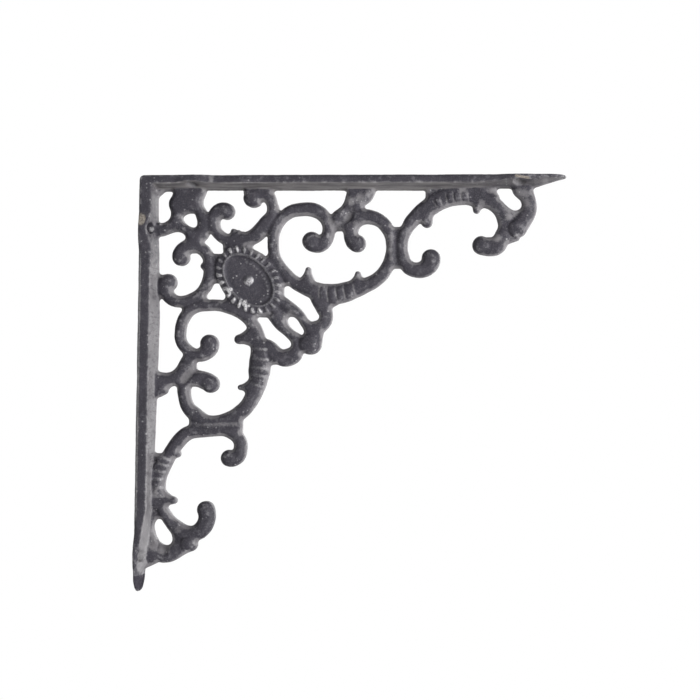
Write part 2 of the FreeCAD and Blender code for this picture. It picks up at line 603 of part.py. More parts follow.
def oval_ring(name, outer_inset, inner_inset, thickness):
    """Oval ring, or a full oval where there is no inner inset."""
    body = new_body(name)
    sketch = new_sketch(body, f"{name}_outline")
    sketch.addGeometry(medallion_ellipse(outer_inset), False)
    if inner_inset:
        sketch.addGeometry(medallion_ellipse(inner_inset), False)
    pad = body.newObject("PartDesign::Pad", f"{name}_pad")
    pad.Profile = sketch
    pad.Midplane = True
    pad.setExpression("Length", f"sizes.{thickness}")
    doc.recompute()
    return body


def make_medallion():
    """The four pieces of the medallion."""
    rim_start = size("petal_width")
    plate_start = rim_start + size("rim_width")
    petals = oval_ring("medallion_petals", 0.0, rim_start, "petal_thickness")
    rim = oval_ring("medallion_rim", rim_start, plate_start, "rim_thickness")
    disc = oval_ring("medallion_plate", plate_start, None, "plate_thickness")

    hole = new_sketch(disc, "medallion_plate_bore")
    add_circles(hole, [drawn(*MEDALLION)], size("boss_diameter"))
    bore = disc.newObject("PartDesign::Pocket", "medallion_plate_hole")
    bore.Profile = hole
    bore.Type = "ThroughAll"
    bore.Midplane = True

    # The boss is a plug through the plate with a rounded end on each face
    boss = new_body("medallion_boss")
    round_end = new_sketch(boss, "medallion_boss_outline")
    add_circles(round_end, [drawn(*MEDALLION)], size("boss_diameter"))
    plug = boss.newObject("PartDesign::Pad", "medallion_boss_plug")
    plug.Profile = round_end
    plug.Midplane = True
    plug.setExpression("Length", "sizes.plate_thickness + 2 * sizes.boss_height")
    doc.recompute()
    dome = boss.newObject("PartDesign::Fillet", "medallion_boss_dome")
    dome.Base = (plug, edges_where(plug.Shape, lambda edge, p: isinstance(edge.Curve, Part.Circle)))
    dome.setExpression("Radius", f"{BOSS_ROUNDING} * sizes.boss_height")
    doc.recompute()
    return {"medallion_petals": petals, "medallion_rim": rim, "medallion_plate": disc, "medallion_boss": boss}


def make_leaf():
    """Leaf in the corner, with its drop-shaped opening."""
    body = plate("corner_leaf", CORNER_LEAF)
    pierce(body, "corner_leaf", LEAF_OPENING)
    return body


def make_ball():
    """Flattened ball that ends the finial."""
    radius = size("ball_diameter") / 2 / size("strand_width") * 2
    x, z = FINIAL_BALL
    return strand("finial_ball", [(x - 0.1, z, radius), (x + 0.1, z, radius)])


untrimmed = {"wall_leg": wall_leg, "shelf_leg": shelf_leg, "corner_leaf": make_leaf(), **make_medallion()}
untrimmed.update({
    "left_corner_scroll": strand("left_corner_scroll", LEFT_CORNER_SCROLL),
    "upper_corner_scroll": strand("upper_corner_scroll", UPPER_CORNER_SCROLL),
    "upper_left_volute": strand("upper_left_volute", UPPER_LOOP, 0, 13, False, True),
    "upper_band": strand("upper_band", UPPER_LOOP, 13, 19, True, True),
    "upper_right_volute": strand("upper_right_volute", UPPER_LOOP, 19, 31, True, False),
    "shelf_stem": plate("shelf_stem", SHELF_STEM),
    "shelf_bar": strand("shelf_bar", SHELF_SCROLL, 0, 3, False, True),
    "shelf_scroll": strand("shelf_scroll", SHELF_SCROLL, 3, 13, True, False),
    "shelf_end_scroll": strand("shelf_end_scroll", SHELF_END_SCROLL),
    "shelf_drop": strand("shelf_drop", SHELF_DROP, flat_start=True),
    "lower_upper_volute": strand("lower_upper_volute", LOWER_LOOP, 0, 13, False, True),
    "lower_band": strand("lower_band", LOWER_LOOP, 13, 21, True, True),
    "lower_lower_volute": strand("lower_lower_volute", LOWER_LOOP, 21, 32, True, False),
    "wall_stem": plate("wall_stem", WALL_STEM),
    "wall_bar": strand("wall_bar", WALL_SCROLL, 0, 3, False, True),
    "wall_scroll": strand("wall_scroll", WALL_SCROLL, 3, 15, True, False),
    "wall_end_scroll": strand("wall_end_scroll", WALL_END_SCROLL),
    "wall_drop": strand("wall_drop", WALL_DROP, flat_start=True),
    "finial_left_strand": strand("finial_left_strand", FINIAL_LEFT, flat_start=True),
    "finial_right_strand": strand("finial_right_strand", FINIAL_RIGHT, flat_start=True),
    "finial_ball": make_ball(),
})

# What each piece runs into and is cut back by
NEIGHBOURS = {
    "shelf_leg": ["wall_leg"],
    "corner_leaf": ["wall_leg", "shelf_leg"],
    "left_corner_scroll": ["wall_leg", "corner_leaf", "medallion_petals"],
    "upper_corner_scroll": ["shelf_leg", "corner_leaf", "left_corner_scroll", "medallion_petals"],
    "upper_left_volute": ["upper_corner_scroll", "medallion_petals"],
    "shelf_stem": ["shelf_leg", "upper_left_volute", "upper_right_volute"],
    "shelf_bar": ["shelf_leg"],
    "shelf_scroll": ["shelf_leg", "upper_right_volute"],
    "shelf_end_scroll": ["shelf_leg", "shelf_bar"],
    "shelf_drop": ["shelf_leg", "shelf_end_scroll"],
    "lower_upper_volute": ["left_corner_scroll", "medallion_petals"],
    "wall_stem": ["wall_leg", "lower_upper_volute", "lower_lower_volute"],
    "wall_bar": ["wall_leg"],
    "wall_scroll": ["wall_leg", "lower_lower_volute"],
    "wall_end_scroll": ["wall_leg", "wall_bar"],
    "wall_drop": ["wall_leg", "wall_end_scroll"],
    "finial_left_strand": ["medallion_petals", "lower_upper_volute", "lower_band"],
    "finial_right_strand": ["medallion_petals", "upper_left_volute", "upper_band", "finial_left_strand"],
    "finial_ball": ["finial_left_strand", "finial_right_strand"],
}
SPURS = {
    "upper_spurs": (UPPER_SPURS, ["upper_left_volute", "upper_band"]),
    "lower_spurs": (LOWER_SPURS, ["lower_band"]),
    "shelf_spurs": (SHELF_SPURS, ["shelf_bar", "shelf_scroll", "shelf_end_scroll"]),
    "wall_spurs": (WALL_SPURS, ["wall_bar", "wall_scroll", "wall_end_scroll"]),
    "corner_spurs": (CORNER_SPURS, ["left_corner_scroll", "upper_corner_scroll"]),
}

for name, body in untrimmed.items():
    nodes[name] = trimmed(name, body, [untrimmed[other] for other in NEIGHBOURS.get(name, [])])
for name, (spurs, carriers) in SPURS.items():
    cutters = [untrimmed[carrier] for carrier in carriers]
    group = doc.addObject("Part::Compound", f"{name}_group")
    group.Links = [trimmed(f"{name}_{index}", strand(f"{name}_{index}", points, flat_start=True), cutters)
                   for index, points in enumerate(spurs)]
    nodes[name] = group
doc.recompute()

for item in doc.Objects:
    if "Invalid" in item.State or "Error" in item.State:
        raise RuntimeError(f"{item.Name} failed: {item.getStatusString()}")
os.makedirs("parts", exist_ok=True)
for name, item in nodes.items():
    item.Label = name
    if item.Shape.isNull() or not item.Shape.isValid():
        raise RuntimeError(f"{name} has no valid shape")
for name, item in nodes.items():
    item.Shape.exportStep(f"parts/{name}.step")
    print(f"{name}: {len(item.Shape.Solids)} solids, {item.Shape.Volume / 1000:.2f} cm3")
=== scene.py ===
"""Look of the cast-iron shelf bracket: a softened casting with its relief, worn finish, light and camera.

Everything is in metres in the frame of the CAD model: X runs out from the wall, Z is up, and the web's
mid-plane is Y = 0. Places on the web's drawing are in millimetres from the corner where the wall plane and
the shelf plane meet.
"""

import json
import math

import bmesh
import bpy
import numpy as np
from mathutils import Matrix, Vector, noise
from mathutils.bvhtree import BVHTree
from mathutils.kdtree import KDTree


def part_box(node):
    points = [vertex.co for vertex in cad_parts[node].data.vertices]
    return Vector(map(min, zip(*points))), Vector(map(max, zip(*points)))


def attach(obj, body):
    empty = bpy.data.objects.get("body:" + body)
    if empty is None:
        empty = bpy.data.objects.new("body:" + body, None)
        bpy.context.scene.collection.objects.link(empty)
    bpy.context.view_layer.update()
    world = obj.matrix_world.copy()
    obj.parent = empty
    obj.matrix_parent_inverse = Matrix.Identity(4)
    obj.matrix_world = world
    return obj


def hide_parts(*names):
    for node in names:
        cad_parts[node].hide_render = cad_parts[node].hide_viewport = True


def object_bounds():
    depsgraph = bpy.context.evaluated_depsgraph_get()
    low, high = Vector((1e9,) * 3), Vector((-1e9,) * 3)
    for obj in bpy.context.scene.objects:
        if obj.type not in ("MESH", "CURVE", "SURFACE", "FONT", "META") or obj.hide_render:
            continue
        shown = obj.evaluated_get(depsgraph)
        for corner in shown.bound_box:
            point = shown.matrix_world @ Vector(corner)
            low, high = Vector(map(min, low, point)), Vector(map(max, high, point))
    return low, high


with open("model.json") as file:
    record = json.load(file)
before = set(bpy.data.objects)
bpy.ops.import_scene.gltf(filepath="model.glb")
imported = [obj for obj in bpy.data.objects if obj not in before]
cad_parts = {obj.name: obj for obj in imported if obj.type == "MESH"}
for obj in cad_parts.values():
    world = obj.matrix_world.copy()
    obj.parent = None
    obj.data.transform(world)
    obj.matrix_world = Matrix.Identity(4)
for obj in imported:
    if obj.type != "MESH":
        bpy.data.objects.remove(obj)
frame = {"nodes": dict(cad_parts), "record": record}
cad_low, cad_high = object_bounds()
scene = bpy.context.scene

MM = 0.001
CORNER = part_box("shelf_leg")[1].z
WEB_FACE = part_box("upper_band")[1].y
PETAL_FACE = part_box("medallion_petals")[1].y
RIM_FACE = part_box("medallion_rim")[1].y
PLATE_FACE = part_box("medallion_plate")[1].y
SIDES = (-1, 1)
LEVEL = Vector((1.0, 0.0, 0.0))
OUT_OF_WEB = Vector((0.0, 1.0, 0.0))
IN_WEB_PLANE = np.array((1.0, 0.0, 1.0))


def web(x, z, y=0.0):
    """Point from its place on the web's drawing, and how far it lies from the web's mid-plane in metres."""
    return Vector((x * MM, y, CORNER + z * MM))


# Relief

PEBBLE_SUBDIVISIONS = 3
PAD_HEIGHT = 0.7 * MM
PAD_GAP = 0.4 * MM
GROOVE_WIDTH = 1.1 * MM

# Grooves across the bands, with a raised pad between each two: both ends of each on the drawing
GROOVES = {
    "upper_band": [((87.8, -52.6), (87.5, -58.2)), ((91.3, -52.6), (91.9, -59.8)),
                   ((95.3, -52.6), (96.6, -60.6)), ((99.1, -52.4), (100.6, -59.6)),
                   ((103.8, -51.4), (105.4, -57.2))],
    "lower_band": [((56.0, -82.8), (62.4, -83.1)), ((56.0, -87.5), (63.0, -88.0)),
                   ((55.6, -91.7), (63.0, -92.4)), ((55.4, -95.0), (62.6, -96.2)),
                   ((55.2, -99.2), (61.0, -101.0))],
    "shelf_bar": [((147.6, -8.6), (148.6, -13.4)), ((151.0, -8.0), (151.7, -12.6)),
                  ((154.7, -7.6), (155.3, -12.4)), ((158.2, -7.6), (158.6, -12.2))],
    "shelf_scroll": [((141.6, -11.8), (144.2, -15.6)), ((144.6, -9.8), (146.2, -14.2))],
    "wall_bar": [((6.6, -146.2), (12.0, -146.0)), ((6.6, -150.2), (12.2, -150.2)),
                 ((7.4, -154.2), (13.0, -154.4))],
    "wall_scroll": [((9.6, -134.4), (15.6, -136.8)), ((8.4, -138.0), (14.8, -139.6)),
                    ((7.4, -142.0), (13.2, -142.6))],
}

MEDALLION = (53.3, -50.0)
MEDALLION_TURN = math.radians(-45.0)
MEDALLION_STRETCH = 5.2 * MM
OVAL_STEPS = 720
PETAL_COUNT = 26
PETAL_LENGTH = 3.3 * MM
PETAL_WIDTH = 1.15 * MM
PETAL_HEIGHT = 1.0 * MM
PETAL_RUB = 0.42
BRIGHT_WIDTH = 1.35
RIM_LINKS = 72
RIM_LINK = (2.0 * MM, 0.9 * MM, 0.5 * MM)
RIM_RUB = 0.32
# Small turn to both sides that gives the direction along the rim
RIM_TURN = 0.05
# Turns, counted from the medallion's long axis, between which the petals are rubbed bright
BRIGHT_PETALS = [(222, 328, 1.0), (140, 165, 0.8)]
# Blots of wear across the rim: turn, length and width
BLOTS = [(259, 3.6, 2.9), (296, 3.6, 3.0), (288, 2.8, 2.0), (305, 2.2, 1.8)]
INNER_RING_INSET = 2.4 * MM
INNER_RING_TURNS = (20, 135)
INNER_BEADS = 30
INNER_BEAD_RADIUS = 0.45 * MM

# Round knobs at the ends of the scrolls: owner, middle on the drawing, radius and height
KNOBS = [
    ("upper_left_volute", (83.4, -31.0), 3.4, 0.6), ("upper_right_volute", (105.0, -32.0), 3.2, 0.6),
    ("lower_upper_volute", (33.8, -80.6), 3.4, 0.6), ("lower_lower_volute", (34.6, -99.8), 3.3, 0.6),
    ("shelf_scroll", (140.6, -39.2), 3.4, 0.6), ("wall_scroll", (44.6, -135.3), 3.2, 0.6),
    ("left_corner_scroll", (18.9, -39.0), 3.2, 0.5), ("left_corner_scroll", (12.8, -51.4), 3.0, 0.5),
    ("upper_corner_scroll", (41.2, -17.0), 3.0, 0.5), ("upper_corner_scroll", (54.6, -10.6), 3.2, 0.5),
    ("shelf_end_scroll", (165.2, -32.8), 3.6, 0.6), ("wall_end_scroll", (33.3, -160.8), 3.4, 0.6),
    ("shelf_drop", (181.6, -24.9), 3.9, 1.1), ("wall_drop", (25.6, -177.0), 3.7, 1.1),
    ("finial_ball", (83.3, -80.1), 4.6, 1.1),
]
# Lobes through the whole web that square an end or widen a foot: owner, middle on the drawing and width
LOBES = [("wall_stem", (10.8, -102.8), 6.0), ("upper_corner_scroll", (51.7, -7.6), 4.6),
         ("corner_spurs", (46.9, -27.7), 4.2), ("corner_spurs", (49.4, -28.6), 4.6)]
LOBE_DEPTH = 1.1


def oval_axes(name):
    """Half lengths of one of the medallion's ovals, which lie on the diagonal and differ by an even inset."""
    low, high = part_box(name)
    across = (high.x - low.x) / 2
    mean = math.sqrt(across ** 2 - MEDALLION_STRETCH ** 2 / 4)
    return mean + MEDALLION_STRETCH / 2, mean - MEDALLION_STRETCH / 2


class Casting:
    """Loose solids, with the node that each face belongs to and how far it is rubbed bright."""

    def __init__(self):
        self.points = []
        self.faces = []
        self.owners = []
        self.rubs = []

    def add(self, points, faces, owner, rub):
        """Adds one closed solid."""
        start = len(self.points)
        self.points.extend(points)
        self.faces.extend([tuple(start + index for index in face) for face in faces])
        self.owners.extend([owner] * len(faces))
        self.rubs.extend([rub] * len(faces))

    def add_node(self, name, node):
        """Adds the solid of one CAD node."""
        points = [vertex.co.copy() for vertex in node.data.vertices]
        self.add(points, [tuple(face.vertices) for face in node.data.polygons], name, 0.0)

    def add_pebble(self, owner, centre, along, length, width, height, rub):
        """Adds a long rounded lump that lies on the web's face, with its long axis in the web's plane."""
        along = along.normalized()
        across = along.cross(OUT_OF_WEB)
        turn = Matrix((along, across, OUT_OF_WEB)).transposed().to_4x4()
        scale = Matrix.Diagonal((length / 2, width / 2, height, 1.0))
        place = Matrix.Translation(centre) @ turn @ scale
        lump = bmesh.new()
        bmesh.ops.create_icosphere(lump, subdivisions=PEBBLE_SUBDIVISIONS, radius=1.0, matrix=place)
        lump.verts.ensure_lookup_table()
        points = [vertex.co.copy() for vertex in lump.verts]
        faces = [tuple(vertex.index for vertex in face.verts) for face in lump.faces]
        lump.free()
        self.add(points, faces, owner, rub)


def add_pads(casting):
    """Raised pads between the grooves of the bands, on both faces of the web."""
    for owner, grooves in GROOVES.items():
        for before, after in zip(grooves, grooves[1:]):
            apart = (web(*before[0]) + web(*before[1]) - web(*after[0]) - web(*after[1])).length / 2
            width = apart - PAD_GAP
            for side in SIDES:
                face = side * WEB_FACE
                start, end = [(web(*a, face) + web(*b, face)) / 2 for a, b in zip(before, after)]
                along = end - start
                middle = (start + end) / 2
                casting.add_pebble(owner, middle, along, along.length, width, PAD_HEIGHT, 0.0)


def add_knobs(casting):
    """Round ends of the scrolls, on both faces of the web, and the lobes through it."""
    for owner, place, radius, height in KNOBS:
        for side in SIDES:
            width = 2 * radius * MM
            middle = web(*place, side * WEB_FACE)
            casting.add_pebble(owner, middle, LEVEL, width, width, height * MM, 0.0)
    for owner, place, across in LOBES:
        width = across * MM
        casting.add_pebble(owner, web(*place), LEVEL, width, width, LOBE_DEPTH * WEB_FACE, 0.0)


def oval_place(long_half, short_half, angle, y):
    """Point on an oval round the medallion's centre."""
    long_way = Vector((math.cos(MEDALLION_TURN), 0.0, math.sin(MEDALLION_TURN)))
    short_way = Vector((-math.sin(MEDALLION_TURN), 0.0, math.cos(MEDALLION_TURN)))
    along = long_way * (long_half * math.cos(angle))
    across = short_way * (short_half * math.sin(angle))
    return web(*MEDALLION, y) + along + across


def even_angles(long_half, short_half, count):
    """Angles that space points evenly round an oval."""
    angles = np.linspace(0.0, 2 * math.pi, OVAL_STEPS + 1)
    points = np.stack([long_half * np.cos(angles), short_half * np.sin(angles)], axis=1)
    run = np.concatenate([[0.0], np.cumsum(np.linalg.norm(np.diff(points, axis=0), axis=1))])
    return np.interp(np.arange(count) * run[-1] / count, run, angles)


def between_ovals(first, second):
    """Half lengths of the oval midway between two."""
    return [(a + b) / 2 for a, b in zip(first, second)]


def petal_rub(turn):
    """How far the petal at this turn, in degrees, is rubbed bright."""
    for low, high, rub in BRIGHT_PETALS:
        if low <= turn <= high:
            return rub
    return PETAL_RUB


def add_petals(casting, side):
    """Ring of petals, wider where they are rubbed bright."""
    ring = between_ovals(oval_axes("medallion_petals"), oval_axes("medallion_rim"))
    for angle in even_angles(*ring, PETAL_COUNT):
        out = oval_place(*ring, angle, 0.0) - web(*MEDALLION)
        rub = petal_rub(math.degrees(angle))
        place = oval_place(*ring, angle, side * PETAL_FACE)
        width = PETAL_WIDTH * (BRIGHT_WIDTH if rub == 1.0 else 1.0)
        casting.add_pebble("medallion_petals", place, out, PETAL_LENGTH, width, PETAL_HEIGHT, rub)


def add_rim_links(casting, side):
    """Raised line of overlapping links on the rim."""
    line = between_ovals(oval_axes("medallion_rim"), oval_axes("medallion_plate"))
    for angle in even_angles(*line, RIM_LINKS):
        place = oval_place(*line, angle, side * RIM_FACE)
        along = oval_place(*line, angle + RIM_TURN, 0.0) - oval_place(*line, angle - RIM_TURN, 0.0)
        casting.add_pebble("medallion_rim", place, along, *RIM_LINK, RIM_RUB)


def add_blots(casting, side):
    """Bright blots of wear across the rim."""
    rim = oval_axes("medallion_rim")
    for turn, length, width in BLOTS:
        place = oval_place(*rim, math.radians(turn), side * PETAL_FACE)
        out = oval_place(*rim, math.radians(turn), 0.0) - web(*MEDALLION)
        casting.add_pebble("medallion_petals", place, out, length * MM, width * MM, PETAL_HEIGHT, 1.0)


def add_inner_ring(casting, side):
    """Broken ring of small beads on the plate."""
    ring = [half_axis - INNER_RING_INSET for half_axis in oval_axes("medallion_plate")]
    width = 2 * INNER_BEAD_RADIUS
    for angle in even_angles(*ring, INNER_BEADS):
        if INNER_RING_TURNS[0] < math.degrees(angle) < INNER_RING_TURNS[1]:
            place = oval_place(*ring, angle, side * PLATE_FACE)
            casting.add_pebble("medallion_plate", place, LEVEL, width, width, INNER_BEAD_RADIUS, RIM_RUB)


# Skin of the casting

VOXEL = 0.42 * MM
FILLET = 0.5 * MM
FILLET_PASSES = 2
ROUNDING_PASSES = 4
SOFTEN_PASSES = 2
DRAW_IN = 0.5
LET_OUT = -0.52
LEAST_LENGTH = 1e-12
# The web starts this far from the wall plane and this far under the shelf plane
WEB_START = 9.5 * MM
WEB_TOP = 7.5 * MM
# The web's outline runs where its skin stands upright, this near to the mid-plane
OUTLINE_SLANT = 0.5
OUTLINE_BAND = 1.6 * MM
ROUND_DROP = 1.9 * MM
ROUND_REACH = 2.9 * MM
BULGE_PASSES = 24
BULGE_PERCENTILES = (35, 90)
SHADING_PASSES = 1
CORNER_RADIUS = 2.6 * MM
WAVE_HEIGHT = 0.16 * MM
WAVE_SIZE = 11.0 * MM
PIT_HEIGHT = 0.07 * MM
PIT_SIZE = 2.2 * MM
PIT_SHIFT = Vector((31.0, 7.0, 3.0))
# A line fades between these shares of its width
LINE_CORE = 0.2
LINE_REACH = 0.8

# Shallow valleys between two strands that run together: both ends on the drawing, width and greyness
VALLEY_DEPTH = 0.9 * MM
VALLEYS = [
    ((28.5, -91.0), (21.6, -98.2), 4.2 * MM, 0.85), ((27.5, -89.2), (33.5, -87.7), 2.0 * MM, 0.85),
    ((92.4, -21.4), (94.6, -25.6), 3.4 * MM, 0.80), ((94.6, -25.6), (92.6, -31.0), 2.2 * MM, 0.80),
    ((96.6, -24.0), (101.0, -19.6), 3.6 * MM, 0.62), ((101.0, -19.6), (102.4, -16.8), 4.4 * MM, 0.50),
    ((56.0, -68.8), (61.0, -77.2), 2.8 * MM, 0.85), ((58.4, -66.6), (64.3, -65.8), 1.8 * MM, 0.75),
    ((8.2, -171.0), (8.8, -177.6), 4.0 * MM, 0.85), ((8.8, -177.6), (13.2, -180.4), 4.6 * MM, 0.80),
]


class Skin:
    """Closed skin of small faces, as arrays."""

    def __init__(self, points, faces):
        """Skin round all the solids whose points and faces are given, overlaps and seams left out."""
        mesh = bpy.data.meshes.new("loose_solids")
        mesh.from_pydata(points, [], faces)
        loose = bpy.data.objects.new("loose_solids", mesh)
        scene.collection.objects.link(loose)
        remesh = loose.modifiers.new("voxels", "REMESH")
        remesh.mode = "VOXEL"
        remesh.voxel_size = VOXEL
        whole = bpy.data.meshes.new_from_object(loose.evaluated_get(bpy.context.evaluated_depsgraph_get()))
        count = len(whole.vertices)
        flat = np.zeros(count * 3)
        whole.vertices.foreach_get("co", flat)
        pairs = np.zeros(len(whole.edges) * 2, dtype=np.int32)
        whole.edges.foreach_get("vertices", pairs)
        self.points = flat.reshape(-1, 3)
        self.edges = pairs.reshape(-1, 2)
        self.faces = [tuple(face.vertices) for face in whole.polygons]
        self.counts = np.maximum(np.bincount(pairs, minlength=count), 1).astype(float)
        self.corners = np.array([(f[0], f[i], f[i + 1]) for f in self.faces for i in range(1, len(f) - 1)])
        bpy.data.objects.remove(loose)
        bpy.data.meshes.remove(mesh)
        bpy.data.meshes.remove(whole)

    def neighbour_mean(self, values):
        """Mean of each point's neighbours, for an array with one row a point."""
        total = np.zeros_like(values)
        first, second = self.edges.T
        for column in range(values.shape[1]):
            total[:, column] = np.bincount(first, values[second, column], len(values))
            total[:, column] += np.bincount(second, values[first, column], len(values))
        return total / self.counts[:, None]

    def spread(self, values, passes):
        """Values after some passes of taking the mean of the neighbours."""
        for _ in range(passes):
            values = self.neighbour_mean(values)
        return values

    def soften(self, passes):
        """Smooths the points without shrinking: each pass draws in and lets out."""
        for _ in range(passes):
            for factor in (DRAW_IN, LET_OUT):
                self.points = self.points + factor * (self.neighbour_mean(self.points) - self.points)

    def normals(self):
        """Unit normals at the points, weighted by area."""
        total = np.zeros_like(self.points)
        a, b, c = (self.points[self.corners[:, corner]] for corner in range(3))
        across = np.cross(b - a, c - a)
        for corner in range(3):
            for column in range(3):
                total[:, column] += np.bincount(self.corners[:, corner], across[:, column], len(total))
        return total / np.maximum(np.linalg.norm(total, axis=1, keepdims=True), LEAST_LENGTH)


def step(values, low, high):
    """Eased 0 to 1 between two values."""
    share = np.clip((values - low) / (high - low), 0.0, 1.0)
    return share * share * (3 - 2 * share)


def line_share(places, start, end, width, fade=0.0):
    """1 on the line between two places on the drawing, less by the fade at its start, and 0 away from it."""
    first = np.array(web(*start))
    way = np.array(web(*end)) - first
    flat = places - first
    flat[:, 1] = 0.0
    along = np.clip(flat @ way / (way @ way), 0.0, 1.0)
    away = np.linalg.norm(flat - along[:, None] * way, axis=1)
    return (1.0 - fade * (1.0 - along)) * (1.0 - step(away, LINE_CORE * width, LINE_REACH * width))


solids = Casting()
for node_name, node in frame["nodes"].items():
    solids.add_node(node_name, node)
relief = Casting()
add_pads(relief)
add_knobs(relief)
for side in SIDES:
    add_petals(relief, side)
    add_rim_links(relief, side)
    add_blots(relief, side)
    add_inner_ring(relief, side)

# The skin is let out and drawn in again, which rounds narrow angles between the solids as casting sand does
skin = Skin(solids.points, solids.faces)
skin.soften(FILLET_PASSES)
swollen = Skin((skin.points + skin.normals() * FILLET).tolist(), skin.faces)
swollen.soften(FILLET_PASSES)
swollen.points = swollen.points - swollen.normals() * FILLET
swollen.soften(ROUNDING_PASSES)
filled = swollen.points.tolist()
relief_faces = [tuple(len(filled) + index for index in face) for face in relief.faces]
skin = Skin(filled + [tuple(point) for point in relief.points], swollen.faces + relief_faces)
skin.soften(SOFTEN_PASSES)

# How far each point of the web lies from the nearest edge of its outline
unrounded = skin.points.copy()
first_normals = skin.normals()
height = np.abs(skin.points[:, 1])
in_web = (skin.points[:, 0] > WEB_START) & (skin.points[:, 2] < CORNER - WEB_TOP)
edges = np.flatnonzero((np.abs(first_normals[:, 1]) < OUTLINE_SLANT) & (height < OUTLINE_BAND) & in_web)
edge_tree = KDTree(len(edges))
for index in edges:
    edge_tree.insert((skin.points[index, 0], 0.0, skin.points[index, 2]), index)
edge_tree.balance()
found_edges = [edge_tree.find((x, 0.0, z)) for x, _, z in skin.points]
nearest_edge = np.array([found[1] for found in found_edges])
inside = np.array([found[2] for found in found_edges])

# How far the outline bulges at that edge: 0 in the crook of a scroll, 1 at its round end
drawn_in = skin.spread(skin.points, BULGE_PASSES)
outline_swell = np.sum((skin.points - drawn_in) * first_normals * IN_WEB_PLANE, axis=1)
bulge = step(outline_swell, *np.percentile(outline_swell[edges], BULGE_PERCENTILES))[nearest_edge]

# The strands of the web are rounded: their faces drop towards the edges, and relief rides on that
near_edge = np.clip(1.0 - inside / ROUND_REACH, 0.0, 1.0)
rounded = WEB_FACE - ROUND_DROP * near_edge ** 2 + np.maximum(height - WEB_FACE, 0.0)
for start, end, width, _ in VALLEYS:
    rounded = rounded - VALLEY_DEPTH * line_share(skin.points, start, end, width)
rounded = np.where(in_web, np.minimum(height, rounded), height)
skin.points[:, 1] = np.sign(skin.points[:, 1]) * rounded
skin.soften(SOFTEN_PASSES)

# The outer corner of the two legs is round
corner_middle = np.array(web(CORNER_RADIUS / MM, -CORNER_RADIUS / MM))
from_corner = (skin.points - corner_middle) * IN_WEB_PLANE
corner_reach = np.maximum(np.linalg.norm(from_corner, axis=1), CORNER_RADIUS)[:, None]
at_corner = (from_corner[:, 0] < 0) & (from_corner[:, 2] > 0)
pulled = from_corner * (CORNER_RADIUS / corner_reach - 1.0)
skin.points = skin.points + np.where(at_corner[:, None], pulled, 0.0)

# The surface is uneven, and stays in the CAD box
waves = np.array([noise.noise(Vector(p) / WAVE_SIZE) for p in skin.points])
pits = np.array([noise.noise(Vector(p) / PIT_SIZE + PIT_SHIFT) for p in skin.points])
skin.points = skin.points + skin.normals() * (WAVE_HEIGHT * waves + PIT_HEIGHT * pits)[:, None]
skin.points = np.clip(skin.points, np.array(cad_low), np.array(cad_high))
points = skin.points
normals = skin.normals()
shading_normals = skin.spread(normals, SHADING_PASSES)
shading_normals = shading_normals / np.linalg.norm(shading_normals, axis=1, keepdims=True)
count = len(points)

# Which node each face of the skin stands for, and which points are on a leg or on the medallion's boss
solid_tree = BVHTree.FromPolygons(solids.points, solids.faces)
face_owner = []
on_node = {name: np.zeros(count, dtype=bool) for name in ("wall_leg", "shelf_leg", "medallion_boss")}
for face in skin.faces:
    middle = Vector(points[list(face)].mean(axis=0))
    owner = solids.owners[solid_tree.find_nearest(middle)[2]]
    face_owner.append(owner)
    if owner in on_node:
        on_node[owner][list(face)] = True
on_wall_leg = on_node["wall_leg"]
on_shelf_leg = on_node["shelf_leg"]


# Wear and painted light

RIDGE_PASSES = 4
RIDGE_SWELL = (0.004 * MM, 0.03 * MM)
RUB_REACH = 0.7 * MM
RUB_RANGE = (0.1, 0.8)
RUB_SWELL = (-0.01 * MM, 0.01 * MM)
# The medallion's boss is rubbed on the side that faces this way
BOSS_WAY = np.array((0.55, 0.0, -0.83))
BOSS_SPREAD = 1.6 * MM
BOSS_LEAST_RUB = 0.08
BOSS_ADDED_RUB = 0.92

# Light lines along the grooves, which are worn brighter on the bands that stand up
WORN_BANDS = ("lower_band", "wall_bar", "wall_scroll")
WORN_GROOVE_WIDTH = 1.4 * MM
WORN_GROOVE_RUB = 0.28
WORN_GROOVE_FADE = 0.8
GROOVE_GREY = 0.75
GROOVE_FACE = 0.5 * WEB_FACE

# Greyness along the edges of the web: its share, and the millimetres from the edge where it starts to fade
# and ends. The second number of each is how much less it is at a round end.
EDGE_SHARE = (0.9, 0.4)
EDGE_FADE_START = (0.9, 0.6)
EDGE_FADE_END = (2.4, 1.2)
GROUND_DEPTH = (0.5 * MM, 2.0 * MM)
GROUND_SHARE = (1.0, 0.35)

# Spots of the web that are as grey as its side walls, partly grey paint and partly painted light: place on
# the drawing and reach
GREY_PATCHES = [
    ((26.5, -91.9), 4.5), ((71.5, -68.5), 4.0), ((74.2, -65.5), 3.0), ((58.0, -69.8), 3.5),
    ((107.0, -10.5), 4.5), ((111.3, -8.7), 3.5), ((104.9, -22.7), 3.0), ((156.0, -7.0), 4.0),
    ((165.0, -13.0), 3.0), ((177.7, -19.4), 3.0), ((185.0, -8.6), 3.5), ((8.0, -178.4), 5.0),
    ((11.6, -179.0), 4.5), ((20.6, -170.3), 3.5), ((15.0, -160.9), 3.5), ((8.9, -153.3), 4.0),
    ((11.8, -148.4), 3.0), ((52.0, -33.0), 3.2), ((40.5, -22.8), 2.8), ((25.4, -37.3), 3.0),
    ((15.7, -54.8), 2.6), ((172.0, -22.0), 3.5), ((172.0, -29.5), 3.5), ((186.0, -13.0), 3.0),
    ((182.5, -8.5), 4.0), ((102.6, -12.0), 4.5),
]
PATCH_SHARE = 0.7
PATCH_CORE = 0.2
# Creases between two strands that are grey along one line: both ends on the drawing
GREY_CREASES = [((29.0, -119.8), (48.0, -118.9)), ((122.0, -27.0), (122.0, -40.0))]
CREASE_SHARE = 0.6
CREASE_WIDTH = 2.4 * MM
